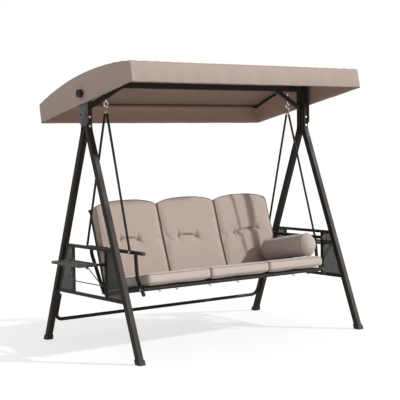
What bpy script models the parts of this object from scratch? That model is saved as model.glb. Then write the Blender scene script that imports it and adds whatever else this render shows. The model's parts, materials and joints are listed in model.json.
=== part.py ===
"""Three-seat garden swing bench with a tilting canopy, fold-down side trays and loose cushions.

Units are metres. +Z is up, +X runs along the bench and +Y points to the back.
Left (-X) and right (+X) are as seen from in front of the bench.
The origin is on the floor, midway between the four feet.
"""

import math

import bmesh
import bpy
from mathutils import Euler, Matrix, Vector

# Clearances
GAP = 0.0003            # between two pieces that touch
RUNNING_GAP = 0.0005    # round a pin that turns

# A-frames: two legs a side, straight from the foot and bent upright near the top
LEG_X = 0.943
LEG_SIZE = 0.040
FOOT_Y = 0.575
BEND_Z = 1.45
BEND_RADIUS = 0.15
APEX_LEG_Y = LEG_SIZE / 2 + GAP
LEG_TOP_Z = 1.757
LEG_EDGE = 0.004

# Feet
BOOT_WALL = 0.004
BOOT_HEIGHT = 0.032
BOOT_FLOOR = 0.006

# Side panels between the legs
CROSSBAR_SIZE = 0.020
UPPER_CROSSBAR_Z = 0.681
LOWER_CROSSBAR_Z = 0.366
PANEL_POST_Y = 0.202
PANEL_POST_SIZE = 0.016
MESH_THICKNESS = 0.002
MESH_MARGIN = 0.001

# Top beam, its braces and the apex plates
BEAM_SIZE = 0.040
BEAM_BOTTOM_Z = 1.718
BRACE_WIDTH = 0.025
BRACE_DEPTH = 0.030
BRACE_FOOT_Z = 1.575
BRACE_REACH = 0.258
APEX_PLATE_HALF_WIDTH = 0.053
APEX_PLATE_THICKNESS = 0.003
APEX_PLATE_BOTTOM_Z = 1.470

# Rear stretcher, a round tube whose ends turn up along the rear legs
STRETCHER_RADIUS = 0.0125
STRETCHER_Z = 0.140
STRETCHER_END_Z = 0.325
STRETCHER_BEND = 0.050

# Hangers
HANGER_X = 0.795
SWING_Z = 1.602
EYE_RADIUS = 0.015
EYE_WIRE = 0.0045
EYE_SHANK_RADIUS = 0.005
EYE_SHANK_TOP_Z = 1.703
YOKE_THICKNESS = 0.008
YOKE_HOLE_RADIUS = 0.0105
YOKE_EYE_RADIUS = 0.0170
YOKE_BOTTOM_Z = 1.555
YOKE_FOOT_HALF = 0.020
ROD_RADIUS = 0.008
ROD_TOP_Y = 0.0125
ROD_TOP_Z = 1.5505
ROD_FOOT_Y = {"front": 0.274, "rear": 0.256}
ROD_FOOT_Z = 0.650

# Arms
ARM_X = 0.782
ARM_WIDTH = 0.030
ARM_HEIGHT = 0.022
ARM_Z = 0.657
ARM_FRONT_Y = -0.392
ARM_BACK_Y = 0.255
FRAME_TUBE_RADIUS = 0.0125
ARM_SUPPORT_RADIUS = 0.012

# Seat
SEAT_TILT = math.radians(9.8)
FRONT_RAIL_Y = -0.368
FRONT_RAIL_Z = 0.428
REAR_RAIL_Y = 0.0915
RAIL_HALF_LENGTH = 0.769
SLING_THICKNESS = 0.003
SLING_HALF_LENGTH = 0.745

# Back
RECLINE = math.radians(18.3)
BACK_REF_Y = 0.129      # the back uprights' axis passes through this Y ...
BACK_REF_Z = 0.380      # ... at this height
BACK_TUBE_RADIUS = 0.010
BACK_UPRIGHT_X = 0.745
BACK_UPRIGHT_BOTTOM_Z = 0.360
TOP_RAIL_Z = 0.895
TOP_RAIL_HALF_LENGTH = 0.757

# Cushions
CUSHION_PITCH = 0.506
CUSHION_WIDTH = 0.503
SEAT_CUSHION_FRONT_Y = -0.415
SEAT_CUSHION_BACK_Y = 0.030
SEAT_CUSHION_THICKNESS = 0.085
BACK_CUSHION_THICKNESS = 0.080
BACK_CUSHION_BOTTOM_Z = 0.384
BACK_CUSHION_SIDE_LENGTH = 0.552
BACK_CUSHION_CROWN = 0.050
CUSHION_ROUNDING = 0.022
BOLSTER_RADIUS = 0.083
BOLSTER_FRONT = (0.680, -0.378)
BOLSTER_BACK = (0.600, 0.050)

# Canopy, drawn level about its pivot and then tilted, front edge up
CANOPY_PIVOT_Z = 1.680
CANOPY_TILT = math.radians(11.3)
CANOPY_HALF_LENGTH = 0.9765
CANOPY_HALF_DEPTH = 0.580
CANOPY_CROWN = 0.130
CANOPY_SHOULDER = 0.065
CANOPY_HEM = -0.067
FABRIC_THICKNESS = 0.003
CANOPY_TUBE_RADIUS = 0.008
ARCH_HALF_DEPTH = 0.565
CROSS_TUBE_Y = 0.557
PIVOT_PLATE_HALF_WIDTH = 0.020
PIVOT_PLATE_THICKNESS = 0.005
PIVOT_PLATE_BOTTOM = -0.030
STUD_RADIUS = 0.005
STUD_END_X = 0.992
KNOB_RADIUS = 0.0260
KNOB_FLUTE = 0.0018
KNOB_LOBES = 6
KNOB_INNER_X = 0.9795
KNOB_OUTER_X = 1.0045

# Side trays
TRAY_HINGE_X = 0.975
TRAY_Z = 0.586
TRAY_INNER_X = 0.979
TRAY_OUTER_X = 1.130
TRAY_HALF_LENGTH = 0.185
TRAY_THICKNESS = 0.016
TRAY_RIM = 0.010
TRAY_RECESS = 0.009
CUP_HOLE_RADIUS = 0.036
TRAY_PIN_RADIUS = 0.004
TRAY_PIN_END_Y = 0.1935
TRAY_LUG_INNER_Y = 0.1865
TRAY_LUG_THICKNESS = 0.0130
BAIL_RADIUS = 0.0035
BAIL_PIVOT_X = 1.061
BAIL_PIVOT_Z = 0.572
BAIL_ARM_Y = 0.178
BAIL_PIN_END_Y = 0.158
BAIL_ROD_X = 0.9608
BAIL_ROD_Z = 0.450
BAIL_LUG_Y = 0.165
BAIL_LUG_THICKNESS = 0.006
BAIL_STOP_FACE_X = 0.9563
BAIL_STOP_HEIGHT = 0.012

SIDES = (("left", -1), ("right", 1))
ENDS = (("front", -1), ("rear", 1))
LEG_SLOPE = (FOOT_Y - APEX_LEG_Y) / BEND_Z
LEG_LEAN = math.atan(LEG_SLOPE)
SEAT_SLOPE = math.tan(SEAT_TILT)
BACK_SLOPE = math.tan(RECLINE)
FACE_YZ = (math.pi / 2, 0, math.pi / 2)     # outline x -> world Y, outline y -> world Z, depth -> X
FACE_XZ = (math.pi / 2, 0, 0)               # outline x -> world X, outline y -> world Z, depth -> Y


# ---------------------------------------------------------------- scene, materials and helpers

for leftover in list(bpy.data.objects):
    bpy.data.objects.remove(leftover, do_unlink=True)

parts = bpy.data.collections.new("canopy_swing_bench")
cutters = bpy.data.collections.new("cutters")
bpy.context.scene.collection.children.link(parts)
bpy.context.scene.collection.children.link(cutters)


def make_material(name, colour, roughness, metallic=0.0):
    """A Principled BSDF with one colour."""
    material = bpy.data.materials.new(name)
    material.use_nodes = True
    shader = material.node_tree.nodes["Principled BSDF"]
    shader.inputs["Base Color"].default_value = (*colour, 1.0)
    shader.inputs["Roughness"].default_value = roughness
    shader.inputs["Metallic"].default_value = metallic
    material.diffuse_color = (*colour, 1.0)
    return material


STEEL = make_material("black_brown_powder_coat", (0.020, 0.017, 0.015), 0.45, 0.3)
GREY_STEEL = make_material("grey_powder_coat", (0.130, 0.115, 0.115), 0.50, 0.3)
CHROME = make_material("chrome", (0.80, 0.79, 0.77), 0.15, 1.0)
BLACK_PLASTIC = make_material("black_plastic", (0.025, 0.024, 0.023), 0.60)
KNOB_PLASTIC = make_material("brown_plastic", (0.075, 0.048, 0.034), 0.50)
TRAY_PLASTIC = make_material("tray_grey", (0.235, 0.225, 0.195), 0.50)
MESH = make_material("mesh_grey", (0.110, 0.105, 0.095), 0.80)
CANOPY_FABRIC = make_material("canopy_taupe", (0.420, 0.345, 0.300), 0.90)
CUSHION_FABRIC = make_material("cushion_taupe", (0.520, 0.430, 0.375), 0.95)


def add_object(name, data, material, location=(0, 0, 0), rotation=(0, 0, 0), parent=None):
    """Links mesh or curve data as a named part."""
    part = bpy.data.objects.new(name, data)
    part.location = location
    part.rotation_euler = rotation
    part.parent = parent
    data.materials.clear()
    data.materials.append(material)
    parts.objects.link(part)
    return part


def add_pivot(name, location, rotation=(0, 0, 0), parent=None):
    """An empty on a joint's axis, which the moving pieces are parented to."""
    pivot = bpy.data.objects.new(name, None)
    pivot.location = location
    pivot.rotation_euler = rotation
    pivot.parent = parent
    pivot.empty_display_size = 0.05
    parts.objects.link(pivot)
    return pivot


def add_bevel(part, width, segments=2, angle=30):
    """Rounds a mesh part's sharp edges."""
    bevel = part.modifiers.new("Rounded edges", "BEVEL")
    bevel.width = width
    bevel.segments = segments
    bevel.limit_method = "ANGLE"
    bevel.angle_limit = math.radians(angle)
    return bevel


def shade_smooth(mesh, angle=35):
    """Smooth shading with sharp creases."""
    mesh.shade_smooth()
    mesh.set_sharp_from_angle(angle=math.radians(angle))


def add_block(name, size, location, material, rotation=(0, 0, 0), parent=None, bevel=0.0, segments=2):
    """A box of a given size, centred on its location."""
    shape = bmesh.new()
    bmesh.ops.create_cube(shape, size=1.0, matrix=Matrix.Diagonal((*size, 1.0)))
    mesh = bpy.data.meshes.new(name)
    shape.to_mesh(mesh)
    shape.free()
    part = add_object(name, mesh, material, location, rotation, parent)
    if bevel:
        add_bevel(part, bevel, segments)
    return part


def add_tube(name, points, radius, material, parent=None, resolution=4):
    """A round tube or wire along a route, closed at both ends."""
    curve = bpy.data.curves.new(name, "CURVE")
    curve.dimensions = "3D"
    curve.bevel_depth = radius
    curve.bevel_resolution = resolution
    curve.use_fill_caps = True
    spline = curve.splines.new("POLY")
    spline.points.add(len(points) - 1)
    for spline_point, point in zip(spline.points, points):
        spline_point.co = (*point, 1.0)
    spline.use_smooth = True
    return add_object(name, curve, material, parent=parent)


def rounded_route(points, radius, steps=6):
    """The points with each inner corner replaced by an arc."""
    points = [Vector(point) for point in points]
    route = [points[0]]
    for before, corner, after in zip(points, points[1:], points[2:]):
        route.extend(corner_arc(before, corner, after, radius, steps))
    route.append(points[-1])
    return route


def corner_arc(before, corner, after, radius, steps):
    """Points of the arc that rounds one corner."""
    incoming = (before - corner).normalized()
    outgoing = (after - corner).normalized()
    half_angle = incoming.angle(outgoing) / 2
    setback = radius / math.tan(half_angle)
    centre = corner + (incoming + outgoing).normalized() * (radius / math.sin(half_angle))
    start = corner + incoming * setback - centre
    end = corner + outgoing * setback - centre
    arc = start.angle(end)
    blend = [(math.sin(arc * (1 - t)) / math.sin(arc), math.sin(arc * t) / math.sin(arc))
             for t in (step / steps for step in range(steps + 1))]
    return [centre + start * first + end * second for first, second in blend]


def circle_points(radius, count, centre=(0, 0)):
    """Points round a circle."""
    angles = (2 * math.pi * step / count for step in range(count))
    return [(centre[0] + radius * math.cos(a), centre[1] + radius * math.sin(a)) for a in angles]


def plate_mesh(name, outline, thickness, holes=()):
    """A flat outline, with its holes, filled and given its thickness, as one closed mesh."""
    curve = bpy.data.curves.new(name, "CURVE")
    curve.dimensions = "2D"
    curve.fill_mode = "BOTH"
    curve.extrude = thickness / 2
    for loop in (outline, *holes):
        spline = curve.splines.new("POLY")
        spline.points.add(len(loop) - 1)
        for spline_point, point in zip(spline.points, loop):
            spline_point.co = (point[0], point[1], 0.0, 1.0)
        spline.use_cyclic_u = True
    source = bpy.data.objects.new(name, curve)
    cutters.objects.link(source)
    bpy.context.view_layer.update()
    evaluated = source.evaluated_get(bpy.context.evaluated_depsgraph_get())
    mesh = bpy.data.meshes.new_from_object(evaluated)
    bpy.data.objects.remove(source, do_unlink=True)
    bpy.data.curves.remove(curve)
    shape = bmesh.new()
    shape.from_mesh(mesh)
    bmesh.ops.remove_doubles(shape, verts=shape.verts, dist=0.00001)
    bmesh.ops.recalc_face_normals(shape, faces=shape.faces)
    shape.to_mesh(mesh)
    shape.free()
    mesh.name = name
    return mesh


def add_plate(name, outline, thickness, material, location=(0, 0, 0), rotation=FACE_YZ, parent=None,
              holes=(), bevel=0.0, segments=2):
    """A flat piece cut from an outline."""
    mesh = plate_mesh(name, outline, thickness, holes)
    part = add_object(name, mesh, material, location, rotation, parent)
    if bevel:
        add_bevel(part, bevel, segments)
    return part


def tube_mesh(name, points, radius):
    """A round tube along a route, as a closed mesh that a Boolean can work on."""
    source = add_tube(name + "_route", points, radius, STEEL)
    bpy.context.view_layer.update()
    evaluated = source.evaluated_get(bpy.context.evaluated_depsgraph_get())
    mesh = bpy.data.meshes.new_from_object(evaluated)
    curve = source.data
    bpy.data.objects.remove(source, do_unlink=True)
    bpy.data.curves.remove(curve)
    shape = bmesh.new()
    shape.from_mesh(mesh)
    bmesh.ops.remove_doubles(shape, verts=shape.verts, dist=0.00001)
    bmesh.ops.recalc_face_normals(shape, faces=shape.faces)
    shape.to_mesh(mesh)
    shape.free()
    mesh.name = name
    return mesh


def join_shapes(name, meshes):
    """Several closed shapes that don't touch, as one mesh; each comes with its own matrix."""
    shape = bmesh.new()
    for mesh, matrix in meshes:
        added = bmesh.new()
        added.from_mesh(mesh)
        added.transform(matrix)
        moved = bpy.data.meshes.new("moved")
        added.to_mesh(moved)
        added.free()
        shape.from_mesh(moved)
        bpy.data.meshes.remove(moved)
    joined = bpy.data.meshes.new(name)
    shape.to_mesh(joined)
    shape.free()
    return joined


def standing(rotation, location=(0, 0, 0)):
    """The matrix of a place and a rotation in Euler angles."""
    return Matrix.Translation(location) @ Euler(rotation).to_matrix().to_4x4()


def cylinder_mesh(radius, height, segments=16, top_radius=None):
    """A cylinder or cone along Z, standing on its origin."""
    shape = bmesh.new()
    bmesh.ops.create_cone(shape, cap_ends=True, segments=segments, radius1=radius,
                          radius2=radius if top_radius is None else top_radius, depth=height,
                          matrix=Matrix.Translation((0, 0, height / 2)))
    mesh = bpy.data.meshes.new("cylinder")
    shape.to_mesh(mesh)
    shape.free()
    return mesh


def facing(direction, location):
    """The matrix that stands a Z-up shape at a place, pointing along a direction."""
    turn = Vector((0, 0, 1)).rotation_difference(Vector(direction)).to_matrix().to_4x4()
    return Matrix.Translation(location) @ turn


def add_helper(name, mesh, matrix, parent=None):
    """A hidden shape that a Boolean modifier uses."""
    helper = bpy.data.objects.new(name, mesh)
    helper.parent = parent
    helper.matrix_local = matrix
    helper.hide_render = True
    helper.display_type = "WIRE"
    cutters.objects.link(helper)
    return helper


def add_boolean(part, helper, operation):
    """Cuts a part with a helper, or joins the helper to it."""
    modifier = part.modifiers.new(helper.name, "BOOLEAN")
    modifier.operation = operation
    modifier.object = helper
    modifier.solver = "EXACT"


# ---------------------------------------------------------------- geometry shared by several parts

def leg_line_y(z, offset=0.0):
    """Y of a rear leg's sloping axis, or of a line beside it, at a height."""
    return FOOT_Y - LEG_SLOPE * z + offset / math.cos(LEG_LEAN)


def seat_z(y, above=0.0):
    """Height of the seat rails' plane, or of a plane above it, at a Y."""
    return FRONT_RAIL_Z - SEAT_SLOPE * (y - FRONT_RAIL_Y) + above / math.cos(SEAT_TILT)


def back_y(z, forward=0.0):
    """Y of the back uprights' plane, or of a plane in front of it, at a height."""
    return BACK_REF_Y + BACK_SLOPE * (z - BACK_REF_Z) - forward / math.cos(RECLINE)


def arch_height(y, crown, shoulder, half_depth):
    """Height of the canopy's arch at a distance from its middle."""
    return crown - (crown - shoulder) * (y / half_depth) ** 2


def leg_outline(direction, half_width, bottom_z, top_z):
    """Side view of a leg in Y and Z, which direction (1 rear, -1 front) mirrors."""
    edges = []
    for offset in (half_width, -half_width):
        corner_y = APEX_LEG_Y + offset
        corner_z = (FOOT_Y + offset / math.cos(LEG_LEAN) - corner_y) / LEG_SLOPE
        foot = Vector((leg_line_y(bottom_z, offset), bottom_z, 0))
        top = Vector((corner_y, top_z, 0))
        edges.append(rounded_route((foot, (corner_y, corner_z, 0), top), BEND_RADIUS + offset))
    outline = edges[0] + edges[1][::-1]
    return [(direction * point.x, point.y) for point in outline]


# ---------------------------------------------------------------- A-frames

def build_legs():
    """Four bent square tubes."""
    for side, sign in SIDES:
        for end, direction in ENDS:
            outline = leg_outline(direction, LEG_SIZE / 2, BOOT_FLOOR + GAP, LEG_TOP_Z)
            add_plate(f"{side}_{end}_leg", outline, LEG_SIZE, STEEL, (sign * LEG_X, 0, 0), bevel=LEG_EDGE)


def build_foot_boots():
    """Four plastic boots, each with a pocket for its leg."""
    half = LEG_SIZE / 2 + BOOT_WALL
    pocket_half = LEG_SIZE / 2 + GAP
    pocket_top = 2 * BOOT_HEIGHT
    for side, sign in SIDES:
        place = (sign * LEG_X, 0, 0)
        for end, direction in ENDS:
            boot = [(direction * leg_line_y(z, offset), z)
                    for z, offset in ((0, half), (BOOT_HEIGHT, half), (BOOT_HEIGHT, -half), (0, -half))]
            pocket = [(direction * leg_line_y(z, offset), z)
                      for z, offset in ((BOOT_FLOOR, pocket_half), (pocket_top, pocket_half),
                                        (pocket_top, -pocket_half), (BOOT_FLOOR, -pocket_half))]
            part = add_plate(f"{side}_{end}_foot_boot", boot, 2 * half, BLACK_PLASTIC, place, bevel=0.002)
            cutter = plate_mesh("pocket", pocket, 2 * pocket_half)
            helper = add_helper(f"{side}_{end}_foot_pocket", cutter, standing(FACE_YZ, place))
            add_boolean(part, helper, "DIFFERENCE")


def build_side_panels():
    """Each A-frame's welded ladder of crossbars and posts, and the mesh infill beside it."""
    half = LEG_SIZE / 2
    bar_half = CROSSBAR_SIZE / 2
    post_half = PANEL_POST_SIZE / 2
    panel_bottom = LOWER_CROSSBAR_Z + bar_half
    panel_top = UPPER_CROSSBAR_Z - bar_half
    for side, sign in SIDES:
        place = standing(FACE_YZ, (sign * LEG_X, 0, 0))
        bars = []
        for centre in (UPPER_CROSSBAR_Z, LOWER_CROSSBAR_Z):
            rear = [(leg_line_y(z, -half) - GAP, z) for z in (centre - bar_half, centre + bar_half)]
            front = [(-y, z) for y, z in reversed(rear)]
            bars.append((plate_mesh("crossbar", rear + front, CROSSBAR_SIZE), place))
        ladder = add_object(f"{side}_panel_ladder", join_shapes("ladder", bars), STEEL)
        posts = []
        for end, direction in ENDS:
            y = direction * PANEL_POST_Y
            post = [(y - post_half, panel_bottom - 0.005), (y + post_half, panel_bottom - 0.005),
                    (y + post_half, panel_top + 0.005), (y - post_half, panel_top + 0.005)]
            posts.append((plate_mesh("post", post, PANEL_POST_SIZE), place))
            low = panel_bottom + MESH_MARGIN
            high = panel_top - MESH_MARGIN
            inner = PANEL_POST_Y + post_half + MESH_MARGIN
            corners = [(inner, low), (leg_line_y(low, -half) - MESH_MARGIN, low),
                       (leg_line_y(high, -half) - MESH_MARGIN, high), (inner, high)]
            outline = [(direction * y, z) for y, z in corners]
            add_plate(f"{side}_{end}_mesh_panel", outline, MESH_THICKNESS, MESH, (sign * LEG_X, 0, 0))
        add_boolean(ladder, add_helper(f"{side}_posts", join_shapes("posts", posts), Matrix()), "UNION")
        brackets = join_shapes("brackets", bracket_shapes(sign))
        add_boolean(ladder, add_helper(f"{side}_brackets", brackets, Matrix()), "UNION")


def bracket_shapes(sign):
    """Hinge lugs for the tray and stops for its bail, welded to one side's posts."""
    post_outer = LEG_X + PANEL_POST_SIZE / 2 - 0.005
    stop_inner_y = 0.172
    stop_outer_y = PANEL_POST_Y - PANEL_POST_SIZE / 2 + 0.003
    reach = TRAY_HINGE_X + 0.008
    half = 0.010
    outline = [(post_outer, TRAY_Z - half), (reach, TRAY_Z - half), (reach, TRAY_Z + half),
               (post_outer, TRAY_Z + half)]
    hole = circle_points(TRAY_PIN_RADIUS + RUNNING_GAP, 20, (TRAY_HINGE_X, TRAY_Z))
    middle_y = TRAY_LUG_INNER_Y + TRAY_LUG_THICKNESS / 2
    stop_half = BAIL_STOP_HEIGHT / 2
    stop_outline = [(sign * x, z) for x, z in (
        (post_outer, BAIL_ROD_Z - stop_half), (BAIL_STOP_FACE_X, BAIL_ROD_Z - stop_half),
        (BAIL_STOP_FACE_X, BAIL_ROD_Z + stop_half), (post_outer, BAIL_ROD_Z + stop_half))]
    shapes = []
    for _, direction in ENDS:
        lug = plate_mesh("lug", [(sign * x, z) for x, z in outline], TRAY_LUG_THICKNESS,
                         ([(sign * x, z) for x, z in hole],))
        shapes.append((lug, standing(FACE_XZ, (0, direction * middle_y, 0))))
        stop = plate_mesh("stop", stop_outline, stop_outer_y - stop_inner_y)
        stop_y = direction * (stop_outer_y + stop_inner_y) / 2
        shapes.append((stop, standing(FACE_XZ, (0, stop_y, 0))))
    return shapes


def build_top_beam():
    """The square beam between the apexes, its two braces and the outer apex plates."""
    inner_face = LEG_X - LEG_SIZE / 2
    add_block("top_beam", (2 * (inner_face - GAP), BEAM_SIZE, BEAM_SIZE),
              (0, 0, BEAM_BOTTOM_Z + BEAM_SIZE / 2), STEEL, bevel=LEG_EDGE)
    foot_x = inner_face - GAP
    head_z = BEAM_BOTTOM_Z - GAP
    head_x = foot_x - BRACE_REACH
    rise = (head_z - BRACE_FOOT_Z) / BRACE_REACH
    upright_depth = BRACE_DEPTH / math.cos(math.atan(rise))
    brace = [(foot_x, BRACE_FOOT_Z), (foot_x, BRACE_FOOT_Z + upright_depth),
             (head_x + upright_depth / rise, head_z), (head_x, head_z)]
    bore = cylinder_mesh(EYE_SHANK_RADIUS + GAP, 0.10)
    for side, sign in SIDES:
        outline = [(sign * x, z) for x, z in brace]
        part = add_plate(f"{side}_beam_brace", outline, BRACE_WIDTH, STEEL, rotation=FACE_XZ, bevel=0.002)
        place = Matrix.Translation((sign * HANGER_X, 0, BRACE_FOOT_Z + 0.045))
        add_boolean(part, add_helper(f"{side}_brace_bore", bore, place), "DIFFERENCE")
    half = APEX_PLATE_HALF_WIDTH
    chamfer = 0.026
    low = APEX_PLATE_BOTTOM_Z
    plate = [(-half, low + chamfer), (-half + chamfer, low), (half - chamfer, low),
             (half, low + chamfer), (half, LEG_TOP_Z), (-half, LEG_TOP_Z)]
    plate_x = LEG_X + LEG_SIZE / 2 + GAP + APEX_PLATE_THICKNESS / 2
    stud = cylinder_mesh(STUD_RADIUS, STUD_END_X - plate_x, 20)
    for side, sign in SIDES:
        part = add_plate(f"{side}_apex_plate", plate, APEX_PLATE_THICKNESS, GREY_STEEL,
                         (sign * plate_x, 0, 0))
        place = facing((sign, 0, 0), (sign * plate_x, 0, CANOPY_PIVOT_Z))
        add_boolean(part, add_helper(f"{side}_pivot_stud", stud, place), "UNION")


def build_stretcher():
    """The low tube between the rear legs, in the plane of those legs."""
    end_x = LEG_X - LEG_SIZE / 2 - STRETCHER_RADIUS - GAP

    def on_legs(x, z):
        return (x, leg_line_y(z), z)

    corners = (on_legs(-end_x, STRETCHER_END_Z), on_legs(-end_x, STRETCHER_Z),
               on_legs(end_x, STRETCHER_Z), on_legs(end_x, STRETCHER_END_Z))
    add_tube("rear_stretcher", rounded_route(corners, STRETCHER_BEND, 8), STRETCHER_RADIUS, STEEL)


# ---------------------------------------------------------------- hangers

def build_eye_bolts():
    """The eye bolt through each brace: ring, shank and nut in one forging."""
    ring_z = SWING_Z + EYE_RADIUS
    for side, sign in SIDES:
        ring = bmesh.new()
        bmesh.ops.create_circle(ring, segments=8, radius=EYE_WIRE,
                                matrix=Matrix.Translation((EYE_RADIUS, 0, 0)))
        bmesh.ops.spin(ring, geom=ring.verts[:] + ring.edges[:], cent=(0, 0, 0), axis=(0, 1, 0),
                       angle=2 * math.pi, steps=20, use_merge=True)
        bmesh.ops.remove_doubles(ring, verts=ring.verts, dist=0.00001)
        bmesh.ops.recalc_face_normals(ring, faces=ring.faces)
        mesh = bpy.data.meshes.new("eye")
        ring.to_mesh(mesh)
        ring.free()
        part = add_object(f"{side}_eye_bolt", mesh, CHROME, (sign * HANGER_X, 0, ring_z))
        shade_smooth(mesh, 60)
        shank_bottom = SWING_Z + 2 * EYE_RADIUS - EYE_WIRE / 3
        shank = cylinder_mesh(EYE_SHANK_RADIUS, EYE_SHANK_TOP_Z - shank_bottom)
        nut = cylinder_mesh(0.009, 0.008, 6)
        for label, shape, z in (("shank", shank, shank_bottom), ("nut", nut, EYE_SHANK_TOP_Z - 0.012)):
            helper = add_helper(f"{side}_eye_{label}", shape, Matrix.Translation((sign * HANGER_X, 0, z)))
            add_boolean(part, helper, "UNION")


def build_hangers(swing_pivot):
    """On each side, the yoke that hangs in the eye and the two rods down to the arm."""
    eye_z = -(YOKE_HOLE_RADIUS - EYE_WIRE - 0.0008)
    bottom_z = YOKE_BOTTOM_Z - SWING_Z
    eye = [(YOKE_EYE_RADIUS * math.cos(a), eye_z + YOKE_EYE_RADIUS * math.sin(a))
           for a in (math.radians(-30 + 240 * step / 14) for step in range(15))]
    outline = eye + [(-YOKE_FOOT_HALF, bottom_z), (YOKE_FOOT_HALF, bottom_z)]
    hole = circle_points(YOKE_HOLE_RADIUS, 20, (0, eye_z))
    rod_foot_x = ARM_X + ARM_WIDTH / 2 + ROD_RADIUS + 0.0006
    for side, sign in SIDES:
        add_plate(f"{side}_hanger_yoke", outline, YOKE_THICKNESS, CHROME, (sign * HANGER_X, 0, 0),
                  parent=swing_pivot, holes=(hole,), bevel=0.001)
        for end, direction in ENDS:
            top = (sign * HANGER_X, direction * ROD_TOP_Y, ROD_TOP_Z - SWING_Z)
            foot = (sign * rod_foot_x, direction * ROD_FOOT_Y[end], ROD_FOOT_Z - SWING_Z)
            add_tube(f"{side}_{end}_hanger_rod", (top, foot), ROD_RADIUS, STEEL, swing_pivot)


# ---------------------------------------------------------------- seat

def below_pivot(points):
    """World points as seen from the swing pivot."""
    return [(x, y, z - SWING_Z) for x, y, z in points]


def build_arms(swing_pivot):
    """Armrests, front supports and the bent side tubes that carry seat and back."""
    arm_underside = ARM_Z - ARM_HEIGHT / 2
    for side, sign in SIDES:
        x = sign * ARM_X
        add_block(f"{side}_armrest", (ARM_WIDTH, ARM_BACK_Y - ARM_FRONT_Y, ARM_HEIGHT),
                  (x, (ARM_BACK_Y + ARM_FRONT_Y) / 2, ARM_Z - SWING_Z), STEEL, parent=swing_pivot,
                  bevel=0.007, segments=3)
        support = ((x, -0.301, arm_underside - 0.0016), (x, -0.316, 0.490), (x, -0.389, 0.390))
        add_tube(f"{side}_arm_support", rounded_route(below_pivot(support), 0.04),
                 ARM_SUPPORT_RADIUS, STEEL, swing_pivot)
        corner_y = 0.083
        side_frame = ((x, -0.3385, seat_z(-0.3385)), (x, corner_y, seat_z(corner_y)),
                      (x, 0.236, 0.612), (x, 0.236, arm_underside - GAP))
        add_tube(f"{side}_side_frame", rounded_route(below_pivot(side_frame), 0.05),
                 FRAME_TUBE_RADIUS, STEEL, swing_pivot)


def build_seat_base(swing_pivot):
    """Front and rear rails, and the support sling stretched over them."""
    for label, y in (("front", FRONT_RAIL_Y), ("rear", REAR_RAIL_Y)):
        ends = [(x, y, seat_z(y)) for x in (-RAIL_HALF_LENGTH, RAIL_HALF_LENGTH)]
        add_tube(f"seat_{label}_rail", below_pivot(ends), FRAME_TUBE_RADIUS, STEEL, swing_pivot)
    length = (REAR_RAIL_Y - FRONT_RAIL_Y) / math.cos(SEAT_TILT)
    middle_y = (REAR_RAIL_Y + FRONT_RAIL_Y) / 2
    height = seat_z(middle_y, FRAME_TUBE_RADIUS + GAP + SLING_THICKNESS / 2) - SWING_Z
    add_block("seat_sling", (2 * SLING_HALF_LENGTH, length, SLING_THICKNESS), (0, middle_y, height),
              MESH, (-SEAT_TILT, 0, 0), swing_pivot)


def build_back_frame(swing_pivot):
    """Reclined uprights, the top rail and the support sling in front of them."""
    top_end_z = TOP_RAIL_Z - (BACK_TUBE_RADIUS + GAP) * math.cos(RECLINE)
    for side, sign in SIDES:
        ends = [(sign * BACK_UPRIGHT_X, back_y(z), z) for z in (BACK_UPRIGHT_BOTTOM_Z, top_end_z)]
        add_tube(f"{side}_back_upright", below_pivot(ends), BACK_TUBE_RADIUS, STEEL, swing_pivot)
    ends = [(x, back_y(TOP_RAIL_Z), TOP_RAIL_Z) for x in (-TOP_RAIL_HALF_LENGTH, TOP_RAIL_HALF_LENGTH)]
    add_tube("back_top_rail", below_pivot(ends), BACK_TUBE_RADIUS, STEEL, swing_pivot)
    low = 0.420
    high = 0.900
    middle_z = (high + low) / 2
    place = (0, back_y(middle_z, BACK_TUBE_RADIUS + GAP + SLING_THICKNESS / 2), middle_z - SWING_Z)
    add_block("back_sling", (2 * SLING_HALF_LENGTH, SLING_THICKNESS, (high - low) / math.cos(RECLINE)),
              place, MESH, (-RECLINE, 0, 0), swing_pivot)


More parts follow.
